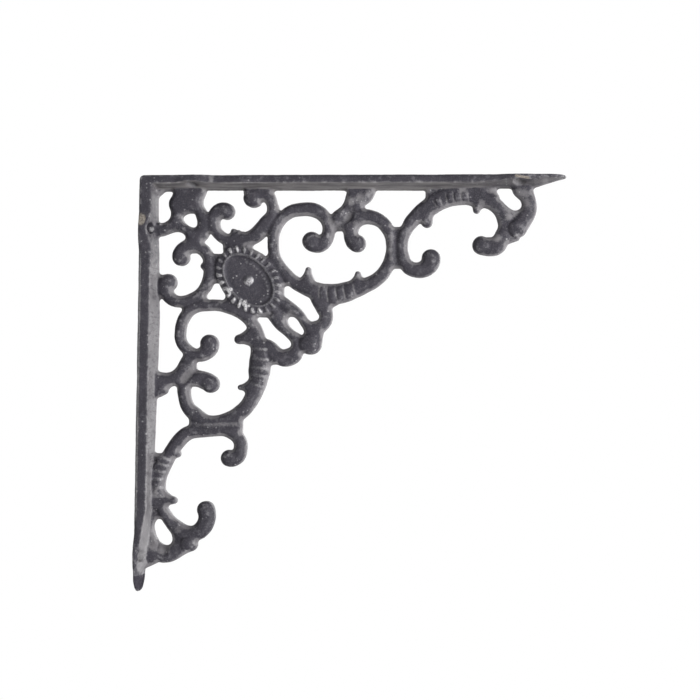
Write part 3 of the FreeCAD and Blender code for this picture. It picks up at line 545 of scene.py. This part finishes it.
# The corner leaf, the end hook of the wall and two strands are darker: middle on the drawing, where the
# darkening starts to fade and ends, and share
DARK_PATCHES = [((24.0, -18.0), 9.0, 17.0, 0.3), ((35.6, -164.0), 6.0, 12.0, 0.6),
                ((64.5, -34.1), 2.0, 7.0, 0.3), ((20.9, -77.6), 3.0, 8.0, 0.45)]
# The ornament at the shelf's end is greyer all over: where along the shelf that starts, and where it is full
SHELF_ORNAMENT = (150, 172)
SHELF_ORNAMENT_GREY = 0.15

# Heights on the drawing between which the wear and painted light of the wall leg change
TIP = (-196, -189)
FOOT_THINS = (-190, -181)
LOW_WALL = (-182, -160)
LIGHT_LINE_FOOT = (-170, -158)
PITTED_WALL = (-165, -145)
UPPER_WALL = (-50, -40)
LIGHT_LINE_HEAD = (-42, -34)
# Distances from the wall plane, in millimetres, between which the wear and painted light of the legs change
LIGHT_LINE_START = (0.35, 0.75)
LIGHT_LINE_END = (1.3, 1.7)
LOW_GREY = (1.4, 2.4)
FOOT_EDGE = (2.6, 3.6)
SHELF_END = (150, 175)
# How much thinner the dark edge at the foot gets
FOOT_THINNING = 1.4 * MM
# The outer chamfer ends this far from the wall plane, and starts this far from the mid-plane
CHAMFER_END = 1.8 * MM
CHAMFER_SIDE = 8.2 * MM
# How far a face has to turn to the room, down or sideways to be painted grey or pale, which is partly painted
# light from the lamps at the right and below
WALL_FACING = (0.10, 0.50)
LOW_WALL_FACING = (0.5, 0.8)
SHELF_FACING = (0.15, 0.55)
SIDE_FACING = (0.45, 0.75)
# How much darker or brighter these places are
FOOT_EDGE_DARK = 0.9
UPPER_WALL_DARK = 0.40
SHELF_END_DARK = 0.65
LIGHT_LINE_HIGHLIGHT_AND_RUB = 0.35
LOW_WALL_RUB_AND_LIGHT = 0.2
PITTED_SHARE = 0.6

# Grey smears on the shelf leg's edge: place on the drawing and reach
SMEARS = [((35.5, -2.0), 2.2), ((194.6, -3.2), 2.6)]
SMEAR_SHARE = 0.8
SMEAR_STRETCH = np.array((1.0, 0.0, 0.4))
HOLE_MARGIN = 0.5 * MM
HOLE_SLANT = 0.5
HOLE_PAINTED_LIGHT = 0.35
# Painted highlight: a bright glint painted pale on the wall of the near upper hole
GLINT = web(5.0, -25.8, -0.0044)
GLINT_CORE = 0.5
GLINT_REACH = 1.5 * MM
GREY_AND_LIGHT_PASSES = 2
PLATE_BAND = 1.0 * MM
BORDER_SPECKLE = 2.0

# Places where the finish is worn to bare metal: middle, and how far the wear reaches
BARE_SPOTS = [(web(1.0, -21.5, -0.0100), 4.8 * MM), (web(0.2, -183.0, -0.0085), 3.0 * MM),
              (web(2.6, -24.6, -0.0065), 2.6 * MM)]
BARE_CORE = 0.3
# A bare streak along the edges of the shelf leg: both ends on the drawing, width, and how far out it lies
BARE_STREAK = ((181.6, -1.0), (187.2, -1.9))
BARE_STREAK_WIDTH = 1.2 * MM
BARE_STREAK_SIDE = 7.5 * MM


def above(low, high):
    """0 under the first height on the drawing, eased to 1 over the second."""
    return step(points[:, 2], CORNER + low * MM, CORNER + high * MM)


def beyond(low, high, shift=0.0):
    """0 within the first distance from the wall plane, in millimetres, eased to 1 beyond the second."""
    return step(points[:, 0] + shift, low * MM, high * MM)


def patch_share(place, near, far, stretch=IN_WEB_PLANE):
    """1 within the near distance of a place on the drawing, in millimetres, eased to 0 beyond the far one."""
    away = np.linalg.norm((points - np.array(web(*place))) * stretch, axis=1)
    return 1.0 - step(away, near * MM, far * MM)


def spot_share(middle, core, reach):
    """1 in the core of a round spot, which is a share of its reach, eased to 0 beyond the reach."""
    away = np.linalg.norm(points - np.array(middle), axis=1)
    return 1.0 - step(away, core * reach, reach)


def less_at_bulge(value, loss):
    """A value that is less where the web's outline bulges."""
    return value - loss * bulge


def web_greyness():
    """How grey the web is, partly grey paint and partly painted light on walls that catch the light: its side
    walls, grounds, creases, valleys and listed spots.
    """
    depth = WEB_FACE - np.abs(points[:, 1])
    fade = step(inside, less_at_bulge(*EDGE_FADE_START) * MM, less_at_bulge(*EDGE_FADE_END) * MM)
    edge_grey = less_at_bulge(*EDGE_SHARE) * (1.0 - fade)
    grey = np.maximum(step(depth, *GROUND_DEPTH) * less_at_bulge(*GROUND_SHARE), edge_grey)
    for start, end in GREY_CREASES:
        grey = np.maximum(grey, CREASE_SHARE * line_share(points, start, end, CREASE_WIDTH))
    for start, end, width, greyness in VALLEYS:
        grey = np.maximum(grey, greyness * line_share(points, start, end, width))
    for place, reach in GREY_PATCHES:
        grey = np.maximum(grey, PATCH_SHARE * patch_share(place, PATCH_CORE * reach, reach))
    grey = grey + SHELF_ORNAMENT_GREY * beyond(*SHELF_ORNAMENT)
    for place, near, far, share in DARK_PATCHES:
        grey = grey - share * patch_share(place, near, far)
    return np.clip(grey, 0.0, 1.0)


# Convex places, at about a millimetre
swell = -np.sum((skin.neighbour_mean(points) - points) * normals, axis=1, keepdims=True)
swell = skin.spread(swell, RIDGE_PASSES)[:, 0]
ridge = step(swell, *RIDGE_SWELL)

# How far each point is rubbed bright by being on the relief
rubbed_faces = [index for index, rub in enumerate(relief.rubs) if rub > 0]
rub_tree = BVHTree.FromPolygons(relief.points, [relief.faces[index] for index in rubbed_faces])
rub_and_highlight = np.zeros(count)
for index, point in enumerate(unrounded):
    found = rub_tree.find_nearest(Vector(point), RUB_REACH)
    if found[0] is not None:
        rub_and_highlight[index] = relief.rubs[rubbed_faces[found[2]]] * (1.0 - found[3] / RUB_REACH)
rub_and_highlight = step(rub_and_highlight, *RUB_RANGE) * step(swell, *RUB_SWELL)
medallion_middle = np.array(web(*MEDALLION))
boss_rub = step((points - medallion_middle) @ BOSS_WAY, -BOSS_SPREAD, BOSS_SPREAD)
boss_rub = BOSS_LEAST_RUB + BOSS_ADDED_RUB * boss_rub
rub_and_highlight = np.where(on_node["medallion_boss"] & (np.abs(points[:, 1]) > PLATE_FACE), boss_rub, rub_and_highlight)

# The grooves
on_face = np.abs(points[:, 1]) > GROOVE_FACE
grooved = np.zeros(count)
for owner, grooves in GROOVES.items():
    for start, end in grooves:
        if owner in WORN_BANDS:
            share = on_face * line_share(points, start, end, WORN_GROOVE_WIDTH, WORN_GROOVE_FADE)
            rub_and_highlight = np.maximum(rub_and_highlight, WORN_GROOVE_RUB * share)
        else:
            share = on_face * line_share(points, start, end, GROOVE_WIDTH)
        grooved = np.maximum(grooved, share)

# Greyer places, partly grey paint and partly painted light: those of the web, the inner faces of the wall leg
# that turn to the key light at the right, and the faces of the shelf leg that turn down. The wall leg has a
# dark tip, a dark edge at its foot and a duller upper end, and the shelf leg has a duller end.
tip = 1.0 - above(*TIP)
low_wall = 1.0 - above(*LOW_WALL)
thinning = FOOT_THINNING * (1.0 - above(*FOOT_THINS))
foot_edge = low_wall * (1.0 - beyond(*FOOT_EDGE, thinning))
low_grey = low_wall * beyond(*LOW_GREY) * (1.0 - step(np.abs(normals[:, 1]), *SIDE_FACING))
# Painted light: the wall leg's faces that turn to the key light at the right are painted grey
wall_grey_and_painted_light = np.maximum(step(normals[:, 0], *WALL_FACING), low_grey) * (1.0 - tip)
wall_grey_and_painted_light = wall_grey_and_painted_light * (1.0 - FOOT_EDGE_DARK * foot_edge)
wall_grey_and_painted_light = wall_grey_and_painted_light * (1.0 - UPPER_WALL_DARK * above(*UPPER_WALL))
# Painted light from below: the shelf leg's faces that turn down are lighter
shelf_grey_and_painted_light = step(-normals[:, 2], *SHELF_FACING) * (1.0 - SHELF_END_DARK * beyond(*SHELF_END))
grey_and_painted_light = np.where(on_shelf_leg, shelf_grey_and_painted_light, web_greyness())
grey_and_painted_light = np.where(on_wall_leg, wall_grey_and_painted_light, grey_and_painted_light)

# A thin painted highlight, partly edge wear, runs along the wall leg's outer chamfer, and the low part of its
# inner face, which turns to the key light, is rubbed pale, partly as painted light
outer_chamfer = (points[:, 0] < CHAMFER_END) & (np.abs(points[:, 1]) > CHAMFER_SIDE) & on_wall_leg
chamfer_highlight_and_wear = beyond(*LIGHT_LINE_START) * (1.0 - beyond(*LIGHT_LINE_END)) * above(*LIGHT_LINE_FOOT)
chamfer_highlight_and_wear = chamfer_highlight_and_wear * (1.0 - above(*LIGHT_LINE_HEAD)) * outer_chamfer
grey_and_painted_light = np.where(outer_chamfer, chamfer_highlight_and_wear, grey_and_painted_light)
rub_and_highlight = np.maximum(rub_and_highlight, LIGHT_LINE_HIGHLIGHT_AND_RUB * chamfer_highlight_and_wear)
low_face_rub_and_light = step(normals[:, 0], *LOW_WALL_FACING) * low_wall * (1.0 - tip) * (1.0 - foot_edge) * on_wall_leg
rub_and_highlight = np.maximum(rub_and_highlight, LOW_WALL_RUB_AND_LIGHT * low_face_rub_and_light)
grey_and_painted_light = np.maximum(grey_and_painted_light, GROOVE_GREY * grooved)

# Smears are grey too. The walls of the screw holes, but for the upper wall holes, are grey and on the wall
# leg pale: painted light that lifts the shade in the holes, partly grey dust
for place, reach in SMEARS:
    smear = SMEAR_SHARE * patch_share(place, PATCH_CORE * reach, reach, SMEAR_STRETCH)
    grey_and_painted_light = np.maximum(grey_and_painted_light, smear * on_shelf_leg)
dark_hole = on_wall_leg & (points[:, 2] > 0.0)
for mount in frame["record"]["mounts"]:
    if mount["kind"] != "bolt_pattern":
        continue
    axis = np.array(mount["axis"], dtype=float)
    spacings = sorted((mount["dims"]["spacing_x_mm"], mount["dims"]["spacing_y_mm"]))
    from_middle = points - np.array(mount["pos_m"])
    along = np.abs(from_middle @ (IN_WEB_PLANE - np.abs(axis))) - spacings[1] / 2 * MM
    across = np.abs(from_middle[:, 1]) - spacings[0] / 2 * MM
    in_hole = np.hypot(along, across) < mount["dims"]["hole_r_mm"] * MM + HOLE_MARGIN
    in_hole &= np.abs(normals @ axis) < HOLE_SLANT
    in_hole &= (on_wall_leg | on_shelf_leg) & ~dark_hole
    grey_and_painted_light = np.where(in_hole, 1.0, grey_and_painted_light)
    rub_and_highlight = np.where(in_hole & on_wall_leg, HOLE_PAINTED_LIGHT, rub_and_highlight)
# Painted highlight: the glint is painted pale on the hole's wall
rub_and_highlight = np.maximum(rub_and_highlight, spot_share(GLINT, GLINT_CORE, GLINT_REACH))
grey_and_painted_light = skin.spread(grey_and_painted_light[:, None], GREY_AND_LIGHT_PASSES)[:, 0]

# Pale specks lie thick on the medallion's plate and along the border between dark and grey
from_plate = np.linalg.norm((points - medallion_middle) * IN_WEB_PLANE, axis=1)
on_plate = (from_plate < oval_axes("medallion_plate")[0]) & (np.abs(points[:, 1]) > PLATE_FACE - PLATE_BAND)
speckle = np.where(on_plate, 1.0, BORDER_SPECKLE * np.minimum(grey_and_painted_light, 1.0 - grey_and_painted_light))

# Bare metal
bare = np.zeros(count)
for middle, reach in BARE_SPOTS:
    bare = np.maximum(bare, spot_share(middle, BARE_CORE, reach))
bare_streak = line_share(points, *BARE_STREAK, BARE_STREAK_WIDTH)
bare = np.maximum(bare, bare_streak * (np.abs(points[:, 1]) > BARE_STREAK_SIDE))

# What the finish reads at each point of the mesh
pitted = PITTED_SHARE * above(*PITTED_WALL) * np.where(on_wall_leg, wall_grey_and_painted_light, 0.0)
underside = np.where(on_shelf_leg, shelf_grey_and_painted_light, 0.0)
values = {"grey_and_painted_light": grey_and_painted_light, "ridge": ridge, "rub_and_highlight": rub_and_highlight, "bare": bare,
          "underside": underside, "speckle": speckle, "pitted": pitted}


# Finish

def colour(red, green, blue):
    """Opaque colour."""
    return (red, green, blue, 1.0)


# Noise textures: features a metre, detail and roughness
TEXTURES = {"blotch": (95.0, 3.0, 0.55), "mottle": (380.0, 4.0, 0.65), "grain": (1300.0, 3.0, 0.7),
            "fine": (2300.0, 2.0, 0.6), "rub": (260.0, 3.0, 0.6)}
# Textures that are drawn out: features a metre along each axis, detail and roughness
STREAK_TEXTURE = ((60.0, 420.0, 300.0), 3.0, 0.55)
PIT_TEXTURE = ((900.0, 280.0, 900.0), 3.0, 0.6)

# Pairs of tones, and the range of a texture over which one turns into the other
DARK_TONES = (colour(0.029, 0.027, 0.035), colour(0.042, 0.039, 0.049))
GREY_TONES = (colour(0.150, 0.143, 0.152), colour(0.205, 0.197, 0.205))
# Brownish grey under the shelf leg, whose lightness is partly painted light from below
UNDERSIDE_TONES = (colour(0.105, 0.099, 0.104), colour(0.185, 0.175, 0.176))
METAL_TONES = (colour(0.15, 0.130, 0.110), colour(0.30, 0.270, 0.240))
PAINT_RANGE = (0.35, 0.65)
UNDERSIDE_RANGE = (0.38, 0.62)
METAL_RANGE = (0.35, 0.65)

# Layers over the dark and the grey paint: texture, the range over which it shows, strength and tone
DARK_LAYERS = [("mottle", (0.54, 0.72), 0.55, colour(0.110, 0.104, 0.119)),
               ("grain", (0.55, 0.70), 0.50, colour(0.125, 0.119, 0.133)),
               ("fine", (0.52, 0.68), 0.38, colour(0.130, 0.124, 0.139))]
GREY_LAYERS = [("grain", (0.53, 0.66), 0.55, colour(0.070, 0.066, 0.074))]
PIT_RANGE = (0.50, 0.66)
PIT_TONE = colour(0.055, 0.052, 0.058)

# The borders of grey paint and of bare metal are ragged
RAGGED = 0.9
GREY_RANGE = (0.24, 0.86)
BARE_RANGE = (0.35, 0.80)

# Textures that break up the rubbed places: texture, the range over which it does so, and what it takes away
RUB_BREAKS = [("rub", (0.30, 0.60), 0.5), ("grain", (0.40, 0.57), 0.65)]
# Pale tone of the rubbed paint, also used for the painted highlights
RUB_AND_HIGHLIGHT_TONE = colour(0.62, 0.61, 0.62)
RIDGE_RANGE = (0.46, 0.70)
RIDGE_STRENGTH = 0.22

# Pale specks: how many a metre, their soft edge, which of them show, and how strongly
SPECKS = 520.0
SPECK_EDGE = (0.12, 0.28)
SPECK_RANGE = (0.86, 0.90)
SPECK_ADDED = 0.25
SPECK_STRENGTH = 0.30
SPECKLE_STRENGTH = 0.30
SPECK_MOTTLE = (0.42, 0.60)
SPECK_MOTTLE_STRENGTH = 0.22
SPECK_TONE = colour(0.36, 0.35, 0.36)

ROUGHNESS_MOTTLE = (0.25, 0.75)
ROUGHNESS = (0.48, 0.68)
BUMP_GRAIN = 0.6
BUMP_MOTTLE = 0.9
BUMP_STRENGTH = 0.45
BUMP_DISTANCE = 0.3 * MM
WORN_METALLIC = 0.4
IRON_GLOSS = 0.25
TIP_SHADE_GLOSS = 0.0


class Nodes:
    """Short way to add and link shader nodes."""

    def __init__(self, tree):
        self.tree = tree
        tree.nodes.clear()

    def add(self, kind, inputs=(), **settings):
        """New node with its settings and inputs; an input that is a socket is linked."""
        node = self.tree.nodes.new(kind)
        for key, value in settings.items():
            setattr(node, key, value)
        for key, value in dict(inputs).items():
            if isinstance(value, bpy.types.NodeSocket):
                self.tree.links.new(value, node.inputs[key])
            else:
                node.inputs[key].default_value = value
        return node

    def output(self, shader, kind):
        """Links the shader to a new output node."""
        self.tree.links.new(shader.outputs[0], self.add(kind).inputs[0])

    def mix(self, factor, first, second):
        """Colour between two colours, which are the seventh and eighth inputs of the node."""
        return self.add("ShaderNodeMix", {0: factor, 6: first, 7: second}, data_type="RGBA").outputs[2]

    def math(self, operation, first, second=0.0):
        """Result of one sum."""
        return self.add("ShaderNodeMath", {0: first, 1: second}, operation=operation).outputs[0]

    def scaled(self, value, factor, added):
        """A value times a factor, and a number added."""
        return self.math("ADD", self.math("MULTIPLY", value, factor), added)

    def between(self, value, low, high):
        """Eased 0 to 1 between two values."""
        node = self.add("ShaderNodeMapRange", {0: value, 1: low, 2: high}, interpolation_type="SMOOTHSTEP")
        return node.outputs[0]

    def ragged(self, value, texture):
        """A value made uneven by a texture, which is a half on average."""
        return self.math("ADD", value, self.math("MULTIPLY", self.math("SUBTRACT", texture, 0.5), RAGGED))

    def noise(self, where, scale, detail, roughness):
        """Noise with a feature size of one over the scale, in metres."""
        node = self.add("ShaderNodeTexNoise",
                        {"Vector": where, "Scale": scale, "Detail": detail, "Roughness": roughness})
        return node.outputs[0]

    def drawn_out_noise(self, where, scales, detail, roughness):
        """Noise with a scale for each axis."""
        space = self.add("ShaderNodeMapping", {"Vector": where, "Scale": scales}).outputs[0]
        return self.noise(space, 1.0, detail, roughness)

    def attribute(self, name):
        """Value kept on the mesh."""
        return self.add("ShaderNodeAttribute", attribute_name=name).outputs["Fac"]

    def object_place(self):
        """Place in the frame of the object."""
        return self.add("ShaderNodeTexCoord").outputs["Object"]

    def seen(self):
        """1 for a ray that is looked along, straight or mirrored, and 0 for one that only gives light."""
        path = self.add("ShaderNodeLightPath").outputs
        indirect = self.math("MAXIMUM", path["Is Glossy Ray"], path["Is Transmission Ray"])
        return self.math("MAXIMUM", path["Is Camera Ray"], indirect)


def layered(n, base, layers, textures):
    """A tone with layers of texture over it."""
    for texture, shown, strength, tone in layers:
        base = n.mix(n.math("MULTIPLY", n.between(textures[texture], *shown), strength), base, tone)
    return base


def paint_tone(n, where, textures):
    """Black paint; grey and pitted where it is greyer, which is partly grey paint and partly painted light;
    and a lighter brownish grey under the shelf leg, partly painted light from below.
    """
    patchy = n.between(textures["blotch"], *PAINT_RANGE)
    dark = layered(n, n.mix(patchy, *DARK_TONES), DARK_LAYERS, textures)
    grey = layered(n, n.mix(patchy, *GREY_TONES), GREY_LAYERS, textures)
    pits = n.between(n.drawn_out_noise(where, *PIT_TEXTURE), *PIT_RANGE)
    grey = n.mix(n.math("MULTIPLY", pits, n.attribute("pitted")), grey, PIT_TONE)
    border = n.ragged(n.ragged(n.attribute("grey_and_painted_light"), textures["grain"]), textures["mottle"])
    base = n.mix(n.between(border, *GREY_RANGE), dark, grey)
    underside_tone = n.mix(n.between(n.drawn_out_noise(where, *STREAK_TEXTURE), *UNDERSIDE_RANGE), *UNDERSIDE_TONES)
    return n.mix(n.attribute("underside"), base, underside_tone)


def pale_share(n, textures):
    """How far the paint is pale: rubbed on the relief and here and there on ridges, and painted highlights on
    the glint, the chamfer line, the low wall face and the hole walls.
    """
    rub = n.attribute("rub_and_highlight")
    for texture, shown, loss in RUB_BREAKS:
        kept = n.scaled(n.between(textures[texture], *shown), loss, 1.0 - loss)
        rub = n.math("MULTIPLY", rub, kept)
    here_and_there = n.math("MULTIPLY", n.between(textures["mottle"], *RIDGE_RANGE), RIDGE_STRENGTH)
    return n.math("MAXIMUM", rub, n.math("MULTIPLY", n.attribute("ridge"), here_and_there))


def speck_share(n, where, textures):
    """Small pale specks, more and stronger where the surface is speckled."""
    speckled = n.attribute("speckle")
    dots = n.add("ShaderNodeTexVoronoi", {"Vector": where, "Scale": SPECKS}).outputs
    spot = n.math("SUBTRACT", 1.0, n.between(dots["Distance"], *SPECK_EDGE))
    lot = n.add("ShaderNodeSeparateColor", {0: dots["Color"]}).outputs[0]
    lot = n.math("ADD", lot, n.math("MULTIPLY", speckled, SPECK_ADDED))
    strength = n.scaled(speckled, SPECKLE_STRENGTH, SPECK_STRENGTH)
    mottle = n.between(textures["mottle"], *SPECK_MOTTLE)
    strength = n.math("ADD", strength, n.math("MULTIPLY", mottle, SPECK_MOTTLE_STRENGTH))
    return n.math("MULTIPLY", n.math("MULTIPLY", spot, n.between(lot, *SPECK_RANGE)), strength)


def cast_iron(name, gloss):
    """Blacked iron: dark on the faces, grey in greyer places, partly as painted light, rubbed pale on the
    relief with some painted highlights, bare in spots.
    """
    material = bpy.data.materials.new(name)
    material.use_nodes = True
    n = Nodes(material.node_tree)
    where = n.object_place()
    textures = {texture: n.noise(where, *settings) for texture, settings in TEXTURES.items()}
    grain = textures["grain"]
    mottle = textures["mottle"]
    pale = pale_share(n, textures)
    base = n.mix(pale, paint_tone(n, where, textures), RUB_AND_HIGHLIGHT_TONE)
    base = n.mix(speck_share(n, where, textures), base, SPECK_TONE)
    bare_share = n.between(n.ragged(n.attribute("bare"), mottle), *BARE_RANGE)
    base = n.mix(bare_share, base, n.mix(n.between(grain, *METAL_RANGE), *METAL_TONES))
    roughness = n.add("ShaderNodeMapRange", {
        0: mottle, 1: ROUGHNESS_MOTTLE[0], 2: ROUGHNESS_MOTTLE[1], 3: ROUGHNESS[0], 4: ROUGHNESS[1]})
    bumps = n.math("ADD", n.math("MULTIPLY", grain, BUMP_GRAIN), n.math("MULTIPLY", mottle, BUMP_MOTTLE))
    bump = n.add("ShaderNodeBump", {"Height": bumps, "Strength": BUMP_STRENGTH, "Distance": BUMP_DISTANCE})
    metallic = n.math("MULTIPLY", n.math("MAXIMUM", pale, bare_share), WORN_METALLIC)
    shader = n.add("ShaderNodeBsdfPrincipled", {
        "Base Color": base, "Roughness": roughness.outputs[0], "Metallic": metallic,
        "Normal": bump.outputs[0], "Specular IOR Level": gloss})
    n.output(shader, "ShaderNodeOutputMaterial")
    return material


iron = cast_iron("cast_iron", IRON_GLOSS)
tip_shade_iron = cast_iron("tip_shade_cast_iron", TIP_SHADE_GLOSS)


# Pieces

# Painted shade: the tip of the wall leg takes a copy of the iron without gloss, so that it renders darker,
# but for its face against the wall
WALL_FACE_TURN = -0.3
SHADED_TIP_SHARE = 0.5
shaded_tip = tip * (normals[:, 0] > WALL_FACE_TURN)


def make_piece(name, faces):
    """The part of the skin that stands for one CAD node."""
    used = np.unique([index for face in faces for index in face])
    place = {old: new for new, old in enumerate(used)}
    mesh = bpy.data.meshes.new(name)
    mesh.from_pydata(points[used].tolist(), [], [tuple(place[index] for index in face) for face in faces])
    for key, value in values.items():
        attribute = mesh.attributes.new(key, "FLOAT", "POINT")
        attribute.data.foreach_set("value", value[used].astype(np.float32))
    mesh.shade_smooth()
    mesh.normals_split_custom_set_from_vertices(shading_normals[used].tolist())
    mesh.materials.append(iron)
    # Painted shade: the tip's faces take the gloss-less copy of the iron
    if name == "wall_leg":
        mesh.materials.append(tip_shade_iron)
        matt = [int(shaded_tip[list(face)].mean() > SHADED_TIP_SHARE) for face in faces]
        mesh.polygons.foreach_set("material_index", matt)
    piece = bpy.data.objects.new(f"cast_{name}", mesh)
    scene.collection.objects.link(piece)
    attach(piece, "root")
    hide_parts(name)


faces_of = {name: [] for name in frame["nodes"]}
for face, owner in zip(skin.faces, face_owner):
    faces_of[owner].append(face)
for node_name, faces in faces_of.items():
    make_piece(node_name, faces)


# Floor, light and camera

WHITE = colour(1.0, 1.0, 1.0)
FLOOR_DROP = 0.40
FLOOR_HALF = 3.0
FLOOR_MIDDLE = 0.1
FLOOR_TONE = colour(0.90, 0.90, 0.90)
# The floor turns plain white between these distances, and is already partly so at its middle
FLOOR_NEAR = 0.35
FLOOR_FAR = 0.9
FLOOR_LEAST_PLAIN = 0.55
SKY_TONE = colour(0.95, 0.97, 1.0)
SKY_STRENGTH = 0.17

TARGET = Vector((0.1024, 0.0, 0.02145))
# Soft lights that face the bracket: name, place, size and power
LIGHTS = [("right_key", (1.42, -0.90, -0.12), 1.0, 36.0), ("front_fill", (0.8, -1.6, 0.5), 1.0, 6.0),
          ("back_fill", (0.5, 1.5, 0.3), 1.1, 16.0)]
CAMERA_DISTANCE = 1.0
CAMERA_AZIMUTH = math.radians(10.0)
CAMERA_ELEVATION = math.radians(-1.1)
CAMERA_ROLL = math.radians(0.87)
SENSOR_WIDTH = 36.0
LENS = 108.0
CLIP_START = 0.01


def floor_material(name):
    """Pale matt floor, which keeps the shadow near the bracket and shows as plain white farther off."""
    material = bpy.data.materials.new(name)
    material.use_nodes = True
    n = Nodes(material.node_tree)
    away = n.add("ShaderNodeVectorMath", {0: n.object_place()}, operation="LENGTH").outputs["Value"]
    plain = n.add("ShaderNodeMapRange", {0: away, 1: FLOOR_NEAR, 2: FLOOR_FAR, 3: FLOOR_LEAST_PLAIN, 4: 1.0},
                  interpolation_type="SMOOTHSTEP")
    plain = n.math("MULTIPLY", n.seen(), plain.outputs[0])
    matt = n.add("ShaderNodeBsdfDiffuse", {"Color": FLOOR_TONE})
    white = n.add("ShaderNodeEmission", {"Color": WHITE, "Strength": 1.0})
    shader = n.add("ShaderNodeMixShader", {0: plain, 1: matt.outputs[0], 2: white.outputs[0]})
    n.output(shader, "ShaderNodeOutputMaterial")
    return material


def area_light(name, place, size, power):
    """Square soft light that faces the bracket."""
    data = bpy.data.lights.new(name, "AREA")
    data.size = size
    data.energy = power
    light = bpy.data.objects.new(name, data)
    light.location = place
    light.rotation_euler = (TARGET - Vector(place)).to_track_quat("-Z", "Y").to_euler()
    scene.collection.objects.link(light)


floor_mesh = bpy.data.meshes.new("floor")
floor_corners = [(x * FLOOR_HALF, y * FLOOR_HALF, 0) for x, y in ((-1, -1), (1, -1), (1, 1), (-1, 1))]
floor_mesh.from_pydata(floor_corners, [], [(0, 1, 2, 3)])
floor = bpy.data.objects.new("floor", floor_mesh)
floor.location = (FLOOR_MIDDLE, 0.0, cad_low.z - FLOOR_DROP)
floor_mesh.materials.append(floor_material("pale_floor"))
scene.collection.objects.link(floor)

# The sky is white to look at, and gives a weak even light
world = bpy.data.worlds.new("studio")
scene.world = world
world.use_nodes = True
sky = Nodes(world.node_tree)
fill = sky.add("ShaderNodeBackground", {"Color": SKY_TONE, "Strength": SKY_STRENGTH})
white_sky = sky.add("ShaderNodeBackground", {"Color": WHITE, "Strength": 1.0})
sky_mix = sky.add("ShaderNodeMixShader", {0: sky.seen(), 1: fill.outputs[0], 2: white_sky.outputs[0]})
sky.output(sky_mix, "ShaderNodeOutputWorld")

for settings in LIGHTS:
    area_light(*settings)

camera_data = bpy.data.cameras.new("camera")
camera_data.sensor_width = SENSOR_WIDTH
camera_data.lens = LENS
camera_data.clip_start = CLIP_START
camera = bpy.data.objects.new("camera", camera_data)
back = Vector((math.sin(CAMERA_AZIMUTH) * math.cos(CAMERA_ELEVATION),
               -math.cos(CAMERA_AZIMUTH) * math.cos(CAMERA_ELEVATION), math.sin(CAMERA_ELEVATION)))
level_right = Vector((math.cos(CAMERA_AZIMUTH), math.sin(CAMERA_AZIMUTH), 0.0))
level_up = back.cross(level_right)
right = level_right * math.cos(CAMERA_ROLL) + level_up * math.sin(CAMERA_ROLL)
up = level_up * math.cos(CAMERA_ROLL) - level_right * math.sin(CAMERA_ROLL)
turn = Matrix((right, up, back)).transposed()
camera.matrix_world = Matrix.Translation(TARGET + back * CAMERA_DISTANCE) @ turn.to_4x4()
scene.collection.objects.link(camera)
scene.camera = camera

scene.view_settings.view_transform = "Standard"
